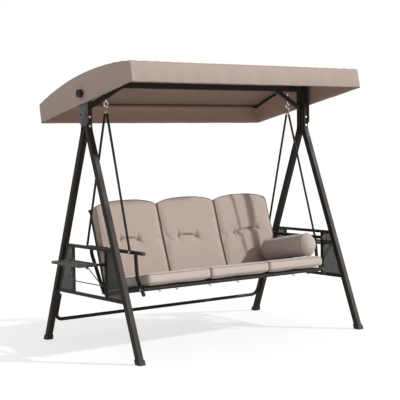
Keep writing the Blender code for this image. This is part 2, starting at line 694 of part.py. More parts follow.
def build_cushions(swing_pivot):
    """Three seat cushions, three back cushions with arched tops, and one bolster."""
    seat_bottom = FRAME_TUBE_RADIUS + SLING_THICKNESS + 3 * GAP
    seat_depth = (SEAT_CUSHION_BACK_Y - SEAT_CUSHION_FRONT_Y) / math.cos(SEAT_TILT)
    seat_middle_y = (SEAT_CUSHION_BACK_Y + SEAT_CUSHION_FRONT_Y) / 2
    seat_lift = seat_bottom + SEAT_CUSHION_THICKNESS / 2
    shift = SEAT_CUSHION_THICKNESS / 2 * math.sin(SEAT_TILT)
    half = CUSHION_WIDTH / 2
    length = BACK_CUSHION_SIDE_LENGTH
    top = [(half * math.cos(a), length + BACK_CUSHION_CROWN * math.sin(a))
           for a in (math.pi * step / 12 for step in range(13))]
    outline = [(-half, 0), (half, 0), *top]
    back_forward = BACK_TUBE_RADIUS + SLING_THICKNESS + 3 * GAP + BACK_CUSHION_THICKNESS / 2
    back_place_y = back_y(BACK_CUSHION_BOTTOM_Z, back_forward)
    for index, label in enumerate(("left", "middle", "right")):
        x = (index - 1) * CUSHION_PITCH
        add_block(f"{label}_seat_cushion", (CUSHION_WIDTH, seat_depth, SEAT_CUSHION_THICKNESS),
                  (x, seat_middle_y + shift, seat_z(seat_middle_y + shift, seat_lift) - SWING_Z),
                  CUSHION_FABRIC, (-SEAT_TILT, 0, 0), swing_pivot, CUSHION_ROUNDING, 3)
        add_plate(f"{label}_back_cushion", outline, BACK_CUSHION_THICKNESS, CUSHION_FABRIC,
                  (x, back_place_y, BACK_CUSHION_BOTTOM_Z - SWING_Z),
                  (math.pi / 2 - RECLINE, 0, 0), swing_pivot, bevel=CUSHION_ROUNDING, segments=3)
    cushion_top = seat_bottom + SEAT_CUSHION_THICKNESS + BOLSTER_RADIUS + 0.001
    ends = [Vector((x, y, seat_z(y, cushion_top) - SWING_Z)) for x, y in (BOLSTER_FRONT, BOLSTER_BACK)]
    axis = ends[1] - ends[0]
    mesh = cylinder_mesh(BOLSTER_RADIUS, axis.length, 32)
    mesh.transform(facing(axis, ends[0]))
    bolster = add_object("bolster", mesh, CUSHION_FABRIC, parent=swing_pivot)
    add_bevel(bolster, 0.018, 3)


# ---------------------------------------------------------------- canopy

def build_canopy_frame(canopy_pivot):
    """Side arches, four cross tubes and the two pivot plates."""
    arch_x = CANOPY_HALF_LENGTH - FABRIC_THICKNESS - CANOPY_TUBE_RADIUS - 0.001
    arch_crown = CANOPY_CROWN - FABRIC_THICKNESS - CANOPY_TUBE_RADIUS - 0.001
    arch_shoulder = CANOPY_SHOULDER - FABRIC_THICKNESS - CANOPY_TUBE_RADIUS - 0.002

    def arch_z(y):
        return arch_height(y, arch_crown, arch_shoulder, ARCH_HALF_DEPTH)

    half = PIVOT_PLATE_HALF_WIDTH
    outline = [(-half, PIVOT_PLATE_BOTTOM), (half, PIVOT_PLATE_BOTTOM), (half, arch_z(0)),
               (-half, arch_z(0))]
    hole = circle_points(STUD_RADIUS + RUNNING_GAP, 20)
    plate = plate_mesh("pivot_plate", outline, PIVOT_PLATE_THICKNESS, (hole,))
    plate_x = LEG_X + LEG_SIZE / 2 + APEX_PLATE_THICKNESS + 0.0017 + PIVOT_PLATE_THICKNESS / 2
    steps = 16
    for side, sign in SIDES:
        route = [(sign * arch_x, y, arch_z(y))
                 for y in (ARCH_HALF_DEPTH * (2 * step / steps - 1) for step in range(steps + 1))]
        name = f"canopy_{side}_arch"
        arch = add_object(name, tube_mesh(name, route, CANOPY_TUBE_RADIUS), STEEL, parent=canopy_pivot)
        place = standing(FACE_YZ, (sign * plate_x, 0, 0))
        add_boolean(arch, add_helper(f"{side}_pivot_plate", plate, place, canopy_pivot), "UNION")
    tube_end = arch_x - CANOPY_TUBE_RADIUS - GAP
    for label, y in (("front", -CROSS_TUBE_Y), ("rear", CROSS_TUBE_Y), ("ridge", 0)):
        add_tube(f"canopy_{label}_tube", [(x, y, arch_z(y)) for x in (-tube_end, tube_end)],
                 CANOPY_TUBE_RADIUS, STEEL, canopy_pivot)


def build_canopy_fabric(canopy_pivot):
    """The arched roof with a straight-hemmed valance all round, open underneath."""
    shape = bmesh.new()
    bmesh.ops.create_grid(shape, x_segments=8, y_segments=16, size=1.0,
                          matrix=Matrix.Diagonal((CANOPY_HALF_LENGTH, CANOPY_HALF_DEPTH, 1, 1)))
    for vertex in shape.verts:
        vertex.co.z = arch_height(vertex.co.y, CANOPY_CROWN, CANOPY_SHOULDER, CANOPY_HALF_DEPTH)
    rim = [edge for edge in shape.edges if edge.is_boundary]
    valance = bmesh.ops.extrude_edge_only(shape, edges=rim)["geom"]
    for element in valance:
        if isinstance(element, bmesh.types.BMVert):
            element.co.z = CANOPY_HEM
    bmesh.ops.recalc_face_normals(shape, faces=shape.faces)
    mesh = bpy.data.meshes.new("canopy_fabric")
    shape.to_mesh(mesh)
    shape.free()
    part = add_object("canopy_fabric", mesh, CANOPY_FABRIC, parent=canopy_pivot)
    solid = part.modifiers.new("Cloth thickness", "SOLIDIFY")
    solid.thickness = FABRIC_THICKNESS
    solid.offset = -1.0
    solid.use_even_offset = True
    bore = cylinder_mesh(STUD_RADIUS + 0.003, 2.2 * CANOPY_HALF_LENGTH, 20)
    place = facing((1, 0, 0), (-1.1 * CANOPY_HALF_LENGTH, 0, 0))
    add_boolean(part, add_helper("canopy_fabric_bore", bore, place, canopy_pivot), "DIFFERENCE")


def build_knobs():
    """The clamping knobs on the studs that the canopy tilts on."""
    points = 60
    outline = []
    for step in range(points):
        angle = 2 * math.pi * step / points
        radius = KNOB_RADIUS + KNOB_FLUTE * math.cos(KNOB_LOBES * angle)
        outline.append((radius * math.cos(angle), radius * math.sin(angle)))
    thickness = KNOB_OUTER_X - KNOB_INNER_X
    for side, sign in SIDES:
        pivot = add_pivot(f"{side}_knob_axis", (sign * (KNOB_INNER_X + thickness / 2), 0, CANOPY_PIVOT_Z))
        knob = add_plate(f"{side}_canopy_knob", outline, thickness, KNOB_PLASTIC, parent=pivot,
                         bevel=0.003)
        depth = STUD_END_X + 0.001 - KNOB_INNER_X + 0.01
        pocket = cylinder_mesh(STUD_RADIUS + RUNNING_GAP, depth, 20)
        place = facing((sign, 0, 0), (-sign * (thickness / 2 + 0.01), 0, 0))
        add_boolean(knob, add_helper(f"{side}_knob_pocket", pocket, place, pivot), "DIFFERENCE")


# ---------------------------------------------------------------- side trays

def build_trays():
    """Fold-down trays, each with a cup hole, hinge pins and a folding wire bail."""
    for side, sign in SIDES:
        hinge = add_pivot(f"{side}_tray_hinge", (sign * TRAY_HINGE_X, 0, TRAY_Z))
        build_tray(side, sign, hinge)
        build_bail(side, sign, hinge)


def build_tray(side, sign, hinge):
    """One tray: a slab with a recessed top, a cup hole, two lugs below and two hinge pins."""
    inner = TRAY_INNER_X - TRAY_HINGE_X
    outer = TRAY_OUTER_X - TRAY_HINGE_X
    corners = [(inner, -TRAY_HALF_LENGTH, 0), (outer, -TRAY_HALF_LENGTH, 0),
               (outer, TRAY_HALF_LENGTH, 0), (inner, TRAY_HALF_LENGTH, 0)]
    slab = rounded_loop(corners, 0.022)
    recess_corners = [(inner + TRAY_RIM, -TRAY_HALF_LENGTH + TRAY_RIM, 0),
                      (outer - TRAY_RIM, -TRAY_HALF_LENGTH + TRAY_RIM, 0),
                      (outer - TRAY_RIM, TRAY_HALF_LENGTH - TRAY_RIM, 0),
                      (inner + TRAY_RIM, TRAY_HALF_LENGTH - TRAY_RIM, 0)]
    recess = rounded_loop(recess_corners, 0.014)
    middle = (inner + outer) / 2
    hole = circle_points(CUP_HOLE_RADIUS, 32, (sign * middle, -0.105))
    part = add_plate(f"{side}_tray", [(sign * x, y) for x, y in slab], TRAY_THICKNESS, TRAY_PLASTIC,
                     rotation=(0, 0, 0), parent=hinge, holes=(hole,))
    lift = TRAY_THICKNESS / 2 + 0.01 - TRAY_RECESS / 2
    depth = TRAY_RECESS + 0.02
    recess_mesh = plate_mesh("recess", [(sign * x, y) for x, y in recess], depth)
    place = Matrix.Translation((0, 0, lift + (depth - TRAY_RECESS) / 2 - 0.01))
    add_boolean(part, add_helper(f"{side}_tray_recess", recess_mesh, place, hinge), "DIFFERENCE")
    lug_x = sign * (BAIL_PIVOT_X - TRAY_HINGE_X)
    lug_z = BAIL_PIVOT_Z - TRAY_Z
    lug_half = 0.008
    lug_outline = [(lug_x - lug_half, lug_z - lug_half), (lug_x + lug_half, lug_z - lug_half),
                   (lug_x + lug_half, -TRAY_THICKNESS / 4), (lug_x - lug_half, -TRAY_THICKNESS / 4)]
    lug_hole = circle_points(BAIL_RADIUS + RUNNING_GAP, 16, (lug_x, lug_z))
    for end, direction in ENDS:
        lug_mesh = plate_mesh("lug", lug_outline, BAIL_LUG_THICKNESS, (lug_hole,))
        lug_place = Matrix.Translation((0, direction * BAIL_LUG_Y, 0)) @ Matrix.Rotation(math.pi / 2, 4, "X")
        add_boolean(part, add_helper(f"{side}_{end}_tray_lug", lug_mesh, lug_place, hinge), "UNION")
        pin_start = TRAY_HALF_LENGTH - 0.006
        boss = cylinder_mesh(0.0078, TRAY_HALF_LENGTH + 0.0009 - (pin_start - 0.014), 20)
        boss_place = facing((0, direction, 0), (0, direction * (pin_start - 0.014), 0))
        add_boolean(part, add_helper(f"{side}_{end}_tray_boss", boss, boss_place, hinge), "UNION")
        pin = cylinder_mesh(TRAY_PIN_RADIUS, TRAY_PIN_END_Y - pin_start, 20)
        pin_place = facing((0, direction, 0), (0, direction * pin_start, 0))
        add_boolean(part, add_helper(f"{side}_{end}_tray_pin", pin, pin_place, hinge), "UNION")


def rounded_loop(corners, radius, steps=4):
    """A closed outline with rounded corners."""
    corners = [Vector(corner) for corner in corners]
    loop = []
    for index, corner in enumerate(corners):
        before = corners[index - 1]
        after = corners[(index + 1) % len(corners)]
        loop.extend(corner_arc(before, corner, after, radius, steps))
    return [(point.x, point.y) for point in loop]


def build_bail(side, sign, hinge):
    """The U-shaped wire that props a tray, on its own axis under the tray."""
    offset = (sign * (BAIL_PIVOT_X - TRAY_HINGE_X), 0, BAIL_PIVOT_Z - TRAY_Z)
    axis = add_pivot(f"{side}_bail_axis", offset, parent=hinge)
    drop_x = sign * (BAIL_ROD_X - BAIL_PIVOT_X)
    drop_z = BAIL_ROD_Z - BAIL_PIVOT_Z
    half = [(0, BAIL_PIN_END_Y, 0), (0, BAIL_ARM_Y, 0), (drop_x, BAIL_ARM_Y, drop_z)]
    route = half + [(x, -y, z) for x, y, z in reversed(half)]
    add_tube(f"{side}_tray_bail", rounded_route(route, 0.008, 4), BAIL_RADIUS, GREY_STEEL, axis, 2)


# ---------------------------------------------------------------- assembly

build_legs()
build_foot_boots()
build_side_panels()
build_top_beam()
build_stretcher()
build_eye_bolts()

swing = add_pivot("swing_axis", (0, 0, SWING_Z))
build_hangers(swing)
build_arms(swing)
build_seat_base(swing)
build_back_frame(swing)
build_cushions(swing)

canopy = add_pivot("canopy_axis", (0, 0, CANOPY_PIVOT_Z), (-CANOPY_TILT, 0, 0))
build_canopy_frame(canopy)
build_canopy_fabric(canopy)
build_knobs()

build_trays()
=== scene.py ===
"""Looks of the canopy swing bench: stuffed cushions, cloth canopy, woven mesh, fasteners and finishes."""
import json
import math

import bmesh
import bpy
import numpy as np
from mathutils import Matrix, Vector, noise
from mathutils.bvhtree import BVHTree


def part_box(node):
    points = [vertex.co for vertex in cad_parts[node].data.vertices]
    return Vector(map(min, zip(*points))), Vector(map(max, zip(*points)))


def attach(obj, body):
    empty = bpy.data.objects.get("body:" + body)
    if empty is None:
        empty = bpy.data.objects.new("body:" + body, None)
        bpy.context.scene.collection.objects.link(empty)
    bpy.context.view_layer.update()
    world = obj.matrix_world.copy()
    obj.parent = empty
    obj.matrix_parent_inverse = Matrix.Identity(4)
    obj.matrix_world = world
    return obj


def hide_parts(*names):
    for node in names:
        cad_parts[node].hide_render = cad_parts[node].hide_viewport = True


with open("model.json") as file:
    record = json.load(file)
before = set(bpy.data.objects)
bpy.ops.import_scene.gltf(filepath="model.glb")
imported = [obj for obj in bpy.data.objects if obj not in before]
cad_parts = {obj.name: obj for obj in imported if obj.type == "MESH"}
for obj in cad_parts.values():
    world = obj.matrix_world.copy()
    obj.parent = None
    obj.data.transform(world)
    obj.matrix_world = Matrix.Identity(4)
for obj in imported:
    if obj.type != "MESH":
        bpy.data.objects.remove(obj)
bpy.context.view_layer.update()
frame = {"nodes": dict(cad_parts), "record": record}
NODES = frame["nodes"]

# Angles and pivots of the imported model
SEAT_TILT = math.radians(9.8)
RECLINE = math.radians(18.3)
CANOPY_TILT = math.radians(11.3)
CANOPY_PIVOT_Z = 1.680
CANOPY_HALF_LENGTH = 0.9765
CANOPY_HALF_DEPTH = 0.580
CANOPY_CROWN = 0.130
CANOPY_SHOULDER = 0.065
CANOPY_HEM = -0.067
SIDE_SHOULDER = 0.016
FRONT_SHOULDER = 0.022
REAR_SHOULDER = 0.024
BACK_THICKNESS = 0.080
BACK_LENGTH = 0.602
PUCKER_LENGTH = 0.052
CREASE_ARCH = 0.015
BOLSTER_DOME = 0.042
BOLSTER_CROWN = 0.007
# Two tufts on each back cushion: across from its middle, and up from its foot
TUFTS = {"left": ((-0.092, 0.316), (0.042, 0.310)), "middle": ((-0.114, 0.310), (0.034, 0.302)),
         "right": ((-0.117, 0.298), (0.098, 0.330))}
SIDES = (("left", -1), ("right", 1))

# Places of the legs and of the faces that bolts sit on
LEG_FOOT_Y = 0.575
LEG_BEND_Y = 0.0203
LEG_BEND_Z = 1.45
LEG_FACE_X = 0.9633
POST_X = 0.943
POST_FACE_Y = 0.0408
PLATE_FACE_X = 0.9665
PLATE_BOLT_Y = 0.034
BEAM_FACE_Y = 0.0128
CROSSBAR_HEIGHTS = (0.681, 0.366)
POST_BOLT_HEIGHTS = (1.470, 1.530)
PLATE_BOLT_HEIGHTS = (1.545, 1.730)
STRETCHER_BOLT_HEIGHTS = (0.300, 0.235)
POST_JOINT_Z = 1.513
BRACE_BOLTS = ((0.905, 1.598), (0.700, 1.712))
ROD_FOOT_X = 0.8136
ROD_FOOT_Z = 0.6595
ROD_FOOT_YS = (-0.2710, 0.2535)
# Place, radius and height of the bolts on each side tube
SIDE_BOLTS = (((0.7945, -0.3640, 0.4265), 0.0065, 0.0045), ((0.7950, 0.0880, 0.3560), 0.0060, 0.0045),
              ((0.7945, -0.3110, 0.5200), 0.0050, 0.0040))
HOOK_PLACES = (-0.646, -0.509, -0.239, 0.0, 0.239, 0.509, 0.646)

# Yarn of the side panels
STRAND_PITCH = 0.0032
STRAND_WIDTH = 0.0022
STRAND_HALF_DEPTH = 0.00015

CLOTH_FRAMES = 20

# Light and camera
KEY_STRENGTH = 4.5
KEY_DIRECTION = Vector((-0.640, 0.556, -0.530))
FLOOR_GLOW = 0.64
CAMERA_PLACE = (-4.55, -5.97, 1.37)
CAMERA_YAW = math.radians(37.11)
CAMERA_PITCH = math.radians(3.21)
CAMERA_ROLL = math.radians(-0.84)
CAMERA_LENS = 96.34


# ---------------------------------------------------------------- materials

class Shader:
    """A Principled material and short calls that add nodes to it."""

    def __init__(self, name, roughness=0.5, metallic=0.0):
        self.material = bpy.data.materials.new(name)
        self.material.use_nodes = True
        self.tree = self.material.node_tree
        self.surface = self.tree.nodes["Principled BSDF"]
        self.surface.inputs["Roughness"].default_value = roughness
        self.surface.inputs["Metallic"].default_value = metallic
        self.place = self.add("ShaderNodeTexCoord").outputs["Object"]

    def add(self, kind, **settings):
        node = self.tree.nodes.new(kind)
        for name, value in settings.items():
            setattr(node, name, value)
        return node

    def put(self, source, target):
        self.tree.links.new(source, target)

    def math(self, operation, first, second=None):
        """One arithmetic step on sockets or numbers."""
        node = self.add("ShaderNodeMath", operation=operation)
        for socket, value in zip(node.inputs, (first, second)):
            if isinstance(value, (int, float)):
                socket.default_value = value
            elif value is not None:
                self.put(value, socket)
        return node.outputs[0]

    def noise(self, scale, detail=2.0, stretch=(1, 1, 1), roughness=0.5):
        """Noise in the object's own space."""
        mapping = self.add("ShaderNodeMapping")
        mapping.inputs["Scale"].default_value = stretch
        self.put(self.place, mapping.inputs["Vector"])
        node = self.add("ShaderNodeTexNoise")
        node.inputs["Scale"].default_value = scale
        node.inputs["Detail"].default_value = detail
        node.inputs["Roughness"].default_value = roughness
        self.put(mapping.outputs["Vector"], node.inputs["Vector"])
        return node.outputs["Fac"]

    def ramp(self, factor, stops):
        """Colours at positions along a factor."""
        node = self.add("ShaderNodeValToRGB")
        elements = node.color_ramp.elements
        while len(elements) < len(stops):
            elements.new(0.5)
        for element, (position, colour) in zip(elements, stops):
            element.position = position
            element.color = (*colour, 1.0)
        self.put(factor, node.inputs["Fac"])
        return node.outputs["Color"]

    def spread(self, factor, low, high):
        """A factor mapped to a range of values."""
        node = self.add("ShaderNodeMapRange")
        node.inputs["From Min"].default_value = 0.3
        node.inputs["From Max"].default_value = 0.7
        node.inputs["To Min"].default_value = low
        node.inputs["To Max"].default_value = high
        self.put(factor, node.inputs["Value"])
        return node.outputs["Result"]

    def mix(self, factor, first, second, blend="MIX"):
        """Two colours mixed."""
        node = self.add("ShaderNodeMix", data_type="RGBA", blend_type=blend)
        if isinstance(factor, (int, float)):
            node.inputs[0].default_value = factor
        else:
            self.put(factor, node.inputs[0])
        for socket, value in ((node.inputs[6], first), (node.inputs[7], second)):
            if isinstance(value, tuple):
                socket.default_value = (*value, 1.0)
            else:
                self.put(value, socket)
        return node.outputs[2]

    def bump(self, height, strength, distance, under=None):
        """Bump from a height, over another bump."""
        node = self.add("ShaderNodeBump")
        node.inputs["Strength"].default_value = strength
        node.inputs["Distance"].default_value = distance
        self.put(height, node.inputs["Height"])
        if under is not None:
            self.put(under, node.inputs["Normal"])
        return node.outputs["Normal"]

    def finish(self, colour, normal=None, roughness=None):
        """Wires colour, normal and roughness to the surface."""
        self.put(colour, self.surface.inputs["Base Color"])
        if normal is not None:
            self.put(normal, self.surface.inputs["Normal"])
        if roughness is not None:
            self.put(roughness, self.surface.inputs["Roughness"])
        return self.material


def tone(colour, factor):
    """A colour made lighter or darker."""
    return tuple(min(1.0, channel * factor) for channel in colour)


def powder_coat(name, colour, worn=(0.20, 0.18, 0.17), roughness=0.42):
    """Baked paint on steel: orange peel, slight mottling, dust, and bare rubbed edges."""
    s = Shader(name, roughness)
    s.surface.inputs["Specular IOR Level"].default_value = 0.11
    mottle = s.noise(9, 4)
    base = s.ramp(mottle, ((0.3, tone(colour, 0.82)), (0.7, tone(colour, 1.22))))
    dust = s.spread(s.noise(38, 5, roughness=0.7), 0.0, 0.05)
    dusty = s.mix(dust, base, tone((0.30, 0.27, 0.25), 0.5))
    edge = s.add("ShaderNodeNewGeometry").outputs["Pointiness"]
    rubbed = s.math("MULTIPLY", s.math("GREATER_THAN", edge, 0.56), s.spread(s.noise(60, 3), 0.0, 0.55))
    normal = s.bump(s.noise(420, 2), 0.15, 0.0004)
    normal = s.bump(s.noise(70, 2), 0.06, 0.001, normal)
    return s.finish(s.mix(rubbed, dusty, worn), normal, s.spread(mottle, roughness - 0.05, roughness + 0.09))


def plated(name, colour, roughness):
    """Plated steel with fine scratches and faint tarnish."""
    s = Shader(name, roughness, 1.0)
    scratches = s.noise(60, 4, (1, 1, 30), 0.7)
    base = s.ramp(s.noise(25, 3), ((0.3, tone(colour, 0.80)), (0.7, colour)))
    normal = s.bump(scratches, 0.05, 0.0004)
    return s.finish(base, normal, s.spread(scratches, roughness, roughness + 0.14))


def moulded(name, colour, roughness=0.5):
    """Injection-moulded plastic with a fine leather grain."""
    s = Shader(name, roughness)
    s.surface.inputs["Specular IOR Level"].default_value = 0.2
    base = s.ramp(s.noise(14, 4), ((0.3, tone(colour, 0.90)), (0.7, tone(colour, 1.08))))
    normal = s.bump(s.noise(620, 3), 0.28, 0.0005)
    normal = s.bump(s.noise(30, 2), 0.04, 0.002, normal)
    return s.finish(base, normal, s.spread(s.noise(40, 3), roughness - 0.06, roughness + 0.08))


def woven(name, colour, pitch=0.0011, bump=0.55, sheen=0.25):
    """Plain-weave cloth: crossed threads with slubs, melange, soft fading and sheen."""
    s = Shader(name, 0.88)
    s.surface.inputs["Sheen Weight"].default_value = sheen
    s.surface.inputs["Sheen Roughness"].default_value = 0.45
    s.surface.inputs["Specular IOR Level"].default_value = 0.25
    axes = s.add("ShaderNodeSeparateXYZ")
    s.put(s.place, axes.inputs[0])
    x, y, z = (s.math("SINE", s.math("MULTIPLY", axis, math.pi / pitch)) for axis in axes.outputs)
    crossed = s.math("ADD", s.math("ADD", s.math("MULTIPLY", x, y), s.math("MULTIPLY", y, z)),
                     s.math("MULTIPLY", z, x))
    threads = s.math("ADD", s.math("MULTIPLY", crossed, 0.3), 0.5)
    slub = s.math("ADD", s.math("MULTIPLY", s.noise(9, 3, (6, 90, 90), 0.65), 0.5),
                  s.math("MULTIPLY", s.noise(9, 3, (90, 90, 6), 0.65), 0.5))
    base = s.ramp(slub, ((0.36, tone(colour, 0.84)), (0.5, colour), (0.64, tone(colour, 1.16))))
    faded = s.mix(s.spread(s.noise(3.2, 4), 0.0, 0.22), base, tone(colour, 1.16))
    thread_shade = s.ramp(threads, ((0.2, (0.80, 0.80, 0.80)), (0.65, (1.0, 1.0, 1.0))))
    normal = s.bump(threads, bump, 0.0005)
    normal = s.bump(slub, 0.25, 0.0012, normal)
    normal = s.bump(s.noise(26, 4, roughness=0.6), 0.16, 0.004, normal)
    return s.finish(s.mix(0.8, faded, thread_shade, "MULTIPLY"), normal)


STEEL = powder_coat("dark_powder_coat", (0.0100, 0.0070, 0.0046), (0.032, 0.027, 0.022), 0.5)
GREY_STEEL = powder_coat("grey_powder_coat", (0.070, 0.061, 0.064), (0.13, 0.12, 0.12), 0.45)
CHROME = plated("bright_plate", (0.82, 0.81, 0.79), 0.12)
ZINC = plated("zinc_plate", (0.56, 0.55, 0.53), 0.30)
BOOT = moulded("boot_plastic", (0.012, 0.0115, 0.011), 0.6)
KNOB = moulded("knob_plastic", (0.020, 0.011, 0.006), 0.6)
TRAY = moulded("tray_plastic", (0.062, 0.060, 0.050), 0.6)
CAP = moulded("grey_cap_plastic", (0.035, 0.033, 0.030), 0.5)
STRAND = woven("mesh_yarn", (0.022, 0.022, 0.0175), 0.0006, 0.3, 0.1)
SLING = woven("sling_cloth", (0.035, 0.033, 0.028), 0.0016, 0.8, 0.1)
CUSHION = woven("cushion_cloth", (0.300, 0.235, 0.202))
# The back cushions' welts and tuft buttons: the piping colour made darker still, as painted shade for the
# dark seams between cushions and the shaded tuft pits.
BACK_PIPING_PAINTED_SHADE = woven("back_piping_painted_shade_cloth", (0.150, 0.110, 0.092), 0.0009, 0.4)
PIPING = woven("piping_cloth", (0.215, 0.165, 0.140), 0.0009, 0.4)
ROOF = woven("roof_cloth", (0.268, 0.209, 0.181), 0.0013, 0.45, 0.05)
LINING = woven("roof_lining", (0.190, 0.120, 0.088), 0.0013, 0.35, 0.05)
# A lighter copy of the lining cloth for the inside of the valance: painted light that stands in for the
# light the shaded inside of the canopy does not get.
VALANCE_LINING_PAINTED_LIGHT = woven("valance_lining_painted_light", (0.345, 0.226, 0.178), 0.0013, 0.35, 0.05)
BLACK_BOLT = powder_coat("black_zinc", (0.020, 0.018, 0.017), (0.09, 0.085, 0.08), 0.4)
HEM = woven("hem_cloth", (0.213, 0.166, 0.145), 0.0010, 0.6, 0.15)
BOLSTER = woven("bolster_cloth", (0.320, 0.262, 0.234))
SEAT_CLOTH = woven("seat_cloth", (0.335, 0.278, 0.250))


def dress_frame():
    """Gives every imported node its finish."""
    finishes = {"dark_steel": STEEL, "grey_steel": GREY_STEEL, "chrome": CHROME, "boot_plastic": BOOT,
                "knob_plastic": KNOB, "tray_plastic": TRAY, "mesh": SLING, "canopy_fabric": ROOF,
                "cushion_fabric": CUSHION}
    for subpart in frame["record"]["subparts"]:
        for material_slot in NODES[subpart["node"]].material_slots:
            material_slot.material = finishes[subpart["material_slot"]]


# ---------------------------------------------------------------- making pieces

def add_piece(name, mesh, body, materials, smooth=True):
    """Links a mesh as a piece that rides on a body."""
    piece = bpy.data.objects.new(name, mesh)
    bpy.context.scene.collection.objects.link(piece)
    # Clearing also resets each face's material, so it is only for a copied node
    if mesh.materials:
        mesh.materials.clear()
    for material in materials:
        mesh.materials.append(material)
    if smooth:
        mesh.shade_smooth()
    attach(piece, body)
    return piece


def to_mesh(name, shape, matrix=Matrix()):
    """A bmesh written to a new mesh, which is put in place, and freed."""
    bmesh.ops.recalc_face_normals(shape, faces=shape.faces)
    mesh = bpy.data.meshes.new(name)
    shape.to_mesh(mesh)
    shape.free()
    mesh.transform(matrix)
    return mesh


def add_form(name, shape, body, material, matrix=Matrix()):
    """A bmesh put in place as a piece of one material that rides on a body."""
    return add_piece(name, to_mesh(name, shape, matrix), body, (material,))


def evaluated_mesh(piece):
    """The mesh of an object with its modifiers applied."""
    bpy.context.view_layer.update()
    return bpy.data.meshes.new_from_object(piece.evaluated_get(bpy.context.evaluated_depsgraph_get()))


def bake(piece):
    """Applies a piece's modifiers to its mesh."""
    mesh = evaluated_mesh(piece)
    old = piece.data
    piece.modifiers.clear()
    piece.data = mesh
    bpy.data.meshes.remove(old)


def thicken(piece, thickness, offset, lining=0):
    """Gives a sheet its thickness, with the inner faces' materials a number of slots further on."""
    solid = piece.modifiers.new("Cloth thickness", "SOLIDIFY")
    solid.thickness = thickness
    solid.offset = offset
    solid.material_offset = lining
    bake(piece)
    piece.data.shade_smooth()


def facing(direction, location):
    """The matrix that stands a Z-up shape at a place, pointing along a direction."""
    turn = Vector((0, 0, 1)).rotation_difference(Vector(direction)).to_matrix().to_4x4()
    return Matrix.Translation(location) @ turn


def add_tube(shape, points, radius, sides=10, closed=False):
    """A round cord through points, added to a bmesh."""
    points = [Vector(point) for point in points]
    count = len(points)
    rings = []
    across = None
    for index, point in enumerate(points):
        ahead = points[(index + 1) % count] if closed or index < count - 1 else point
        behind = points[index - 1] if closed or index else point
        along = (ahead - behind).normalized()
        if across is None:
            across = along.orthogonal().normalized()
        across = (across - along * across.dot(along)).normalized()
        other = along.cross(across)
        angles = (2 * math.pi * step / sides for step in range(sides))
        rings.append([shape.verts.new(point + (across * math.cos(a) + other * math.sin(a)) * radius)
                      for a in angles])
    for index in range(count if closed else count - 1):
        first = rings[index]
        second = rings[(index + 1) % count]
        if closed and index == count - 1:
            gaps = [(second[k].co - first[0].co).length for k in range(sides)]
            shift = gaps.index(min(gaps))
            second = second[shift:] + second[:shift]
        for k in range(sides):
            shape.faces.new((first[k], first[(k + 1) % sides], second[(k + 1) % sides], second[k]))
    if not closed:
        shape.faces.new(rings[0])
        shape.faces.new(rings[-1])


def add_turned(shape, profile, matrix, sides=20):
    """A turned form from (radius, height) pairs, added to a bmesh."""
    rings = []
    for radius, height in profile:
        angles = (2 * math.pi * step / sides for step in range(sides))
        rings.append([shape.verts.new(matrix @ Vector((radius * math.cos(a), radius * math.sin(a), height)))
                      for a in angles])
    for first, second in zip(rings, rings[1:]):
        for k in range(sides):
            shape.faces.new((first[k], first[(k + 1) % sides], second[(k + 1) % sides], second[k]))
    shape.faces.new(rings[0])
    shape.faces.new(rings[-1])


def add_bolt(shape, location, direction, radius=0.0075, height=0.005):
    """A washer with a domed head that has a shallow socket."""
    matrix = facing(direction, location)
    add_turned(shape, ((radius * 1.45, 0), (radius * 1.5, 0.0006), (radius * 1.4, 0.0013), (radius, 0.0014)),
               matrix)
    dome = [(radius, 0.0014), (radius, 0.0024)]
    dome += [(radius * math.cos(t), 0.0024 + (height - 0.0024) * math.sin(t))
             for t in (0.35, 0.7, 1.0)]
    dome += [(radius * 0.42, height), (radius * 0.38, height - 0.0018), (radius * 0.1, height - 0.0018)]
    add_turned(shape, dome, matrix)


def add_grid(shape, columns, rows, place):
    """A sheet of four-sided faces, its points placed by a function of two shares, added to a bmesh."""
    grid = [[shape.verts.new(place(i / columns, j / rows)) for j in range(rows + 1)]
            for i in range(columns + 1)]
    for i in range(columns):
        for j in range(rows):
            shape.faces.new((grid[i][j], grid[i + 1][j], grid[i + 1][j + 1], grid[i][j + 1]))
    return grid


# ---------------------------------------------------------------- cushions

def local_shape(node, matrix, shrink):
    """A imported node's solid in a cushion's own frame, made a little smaller."""
    mesh = NODES[node].data.copy()
    mesh.transform(matrix.inverted())
    low = Vector(map(min, zip(*(vertex.co for vertex in mesh.vertices))))
    high = Vector(map(max, zip(*(vertex.co for vertex in mesh.vertices))))
    middle = (low + high) / 2
    half = (high - low) / 2
    scale = Matrix.Diagonal([(size - shrink) / size for size in half] + [1.0])
    mesh.transform(Matrix.Translation(middle) @ scale @ Matrix.Translation(-middle))
    return mesh, low, high


def remeshed(mesh, voxel):
    """A mesh rebuilt with even faces."""
    piece = bpy.data.objects.new("remesh", mesh)
    bpy.context.scene.collection.objects.link(piece)
    modifier = piece.modifiers.new("Remesh", "REMESH")
    modifier.mode = "VOXEL"
    modifier.voxel_size = voxel
    result = evaluated_mesh(piece)
    bpy.data.objects.remove(piece)
    bpy.data.meshes.remove(mesh)
    return result


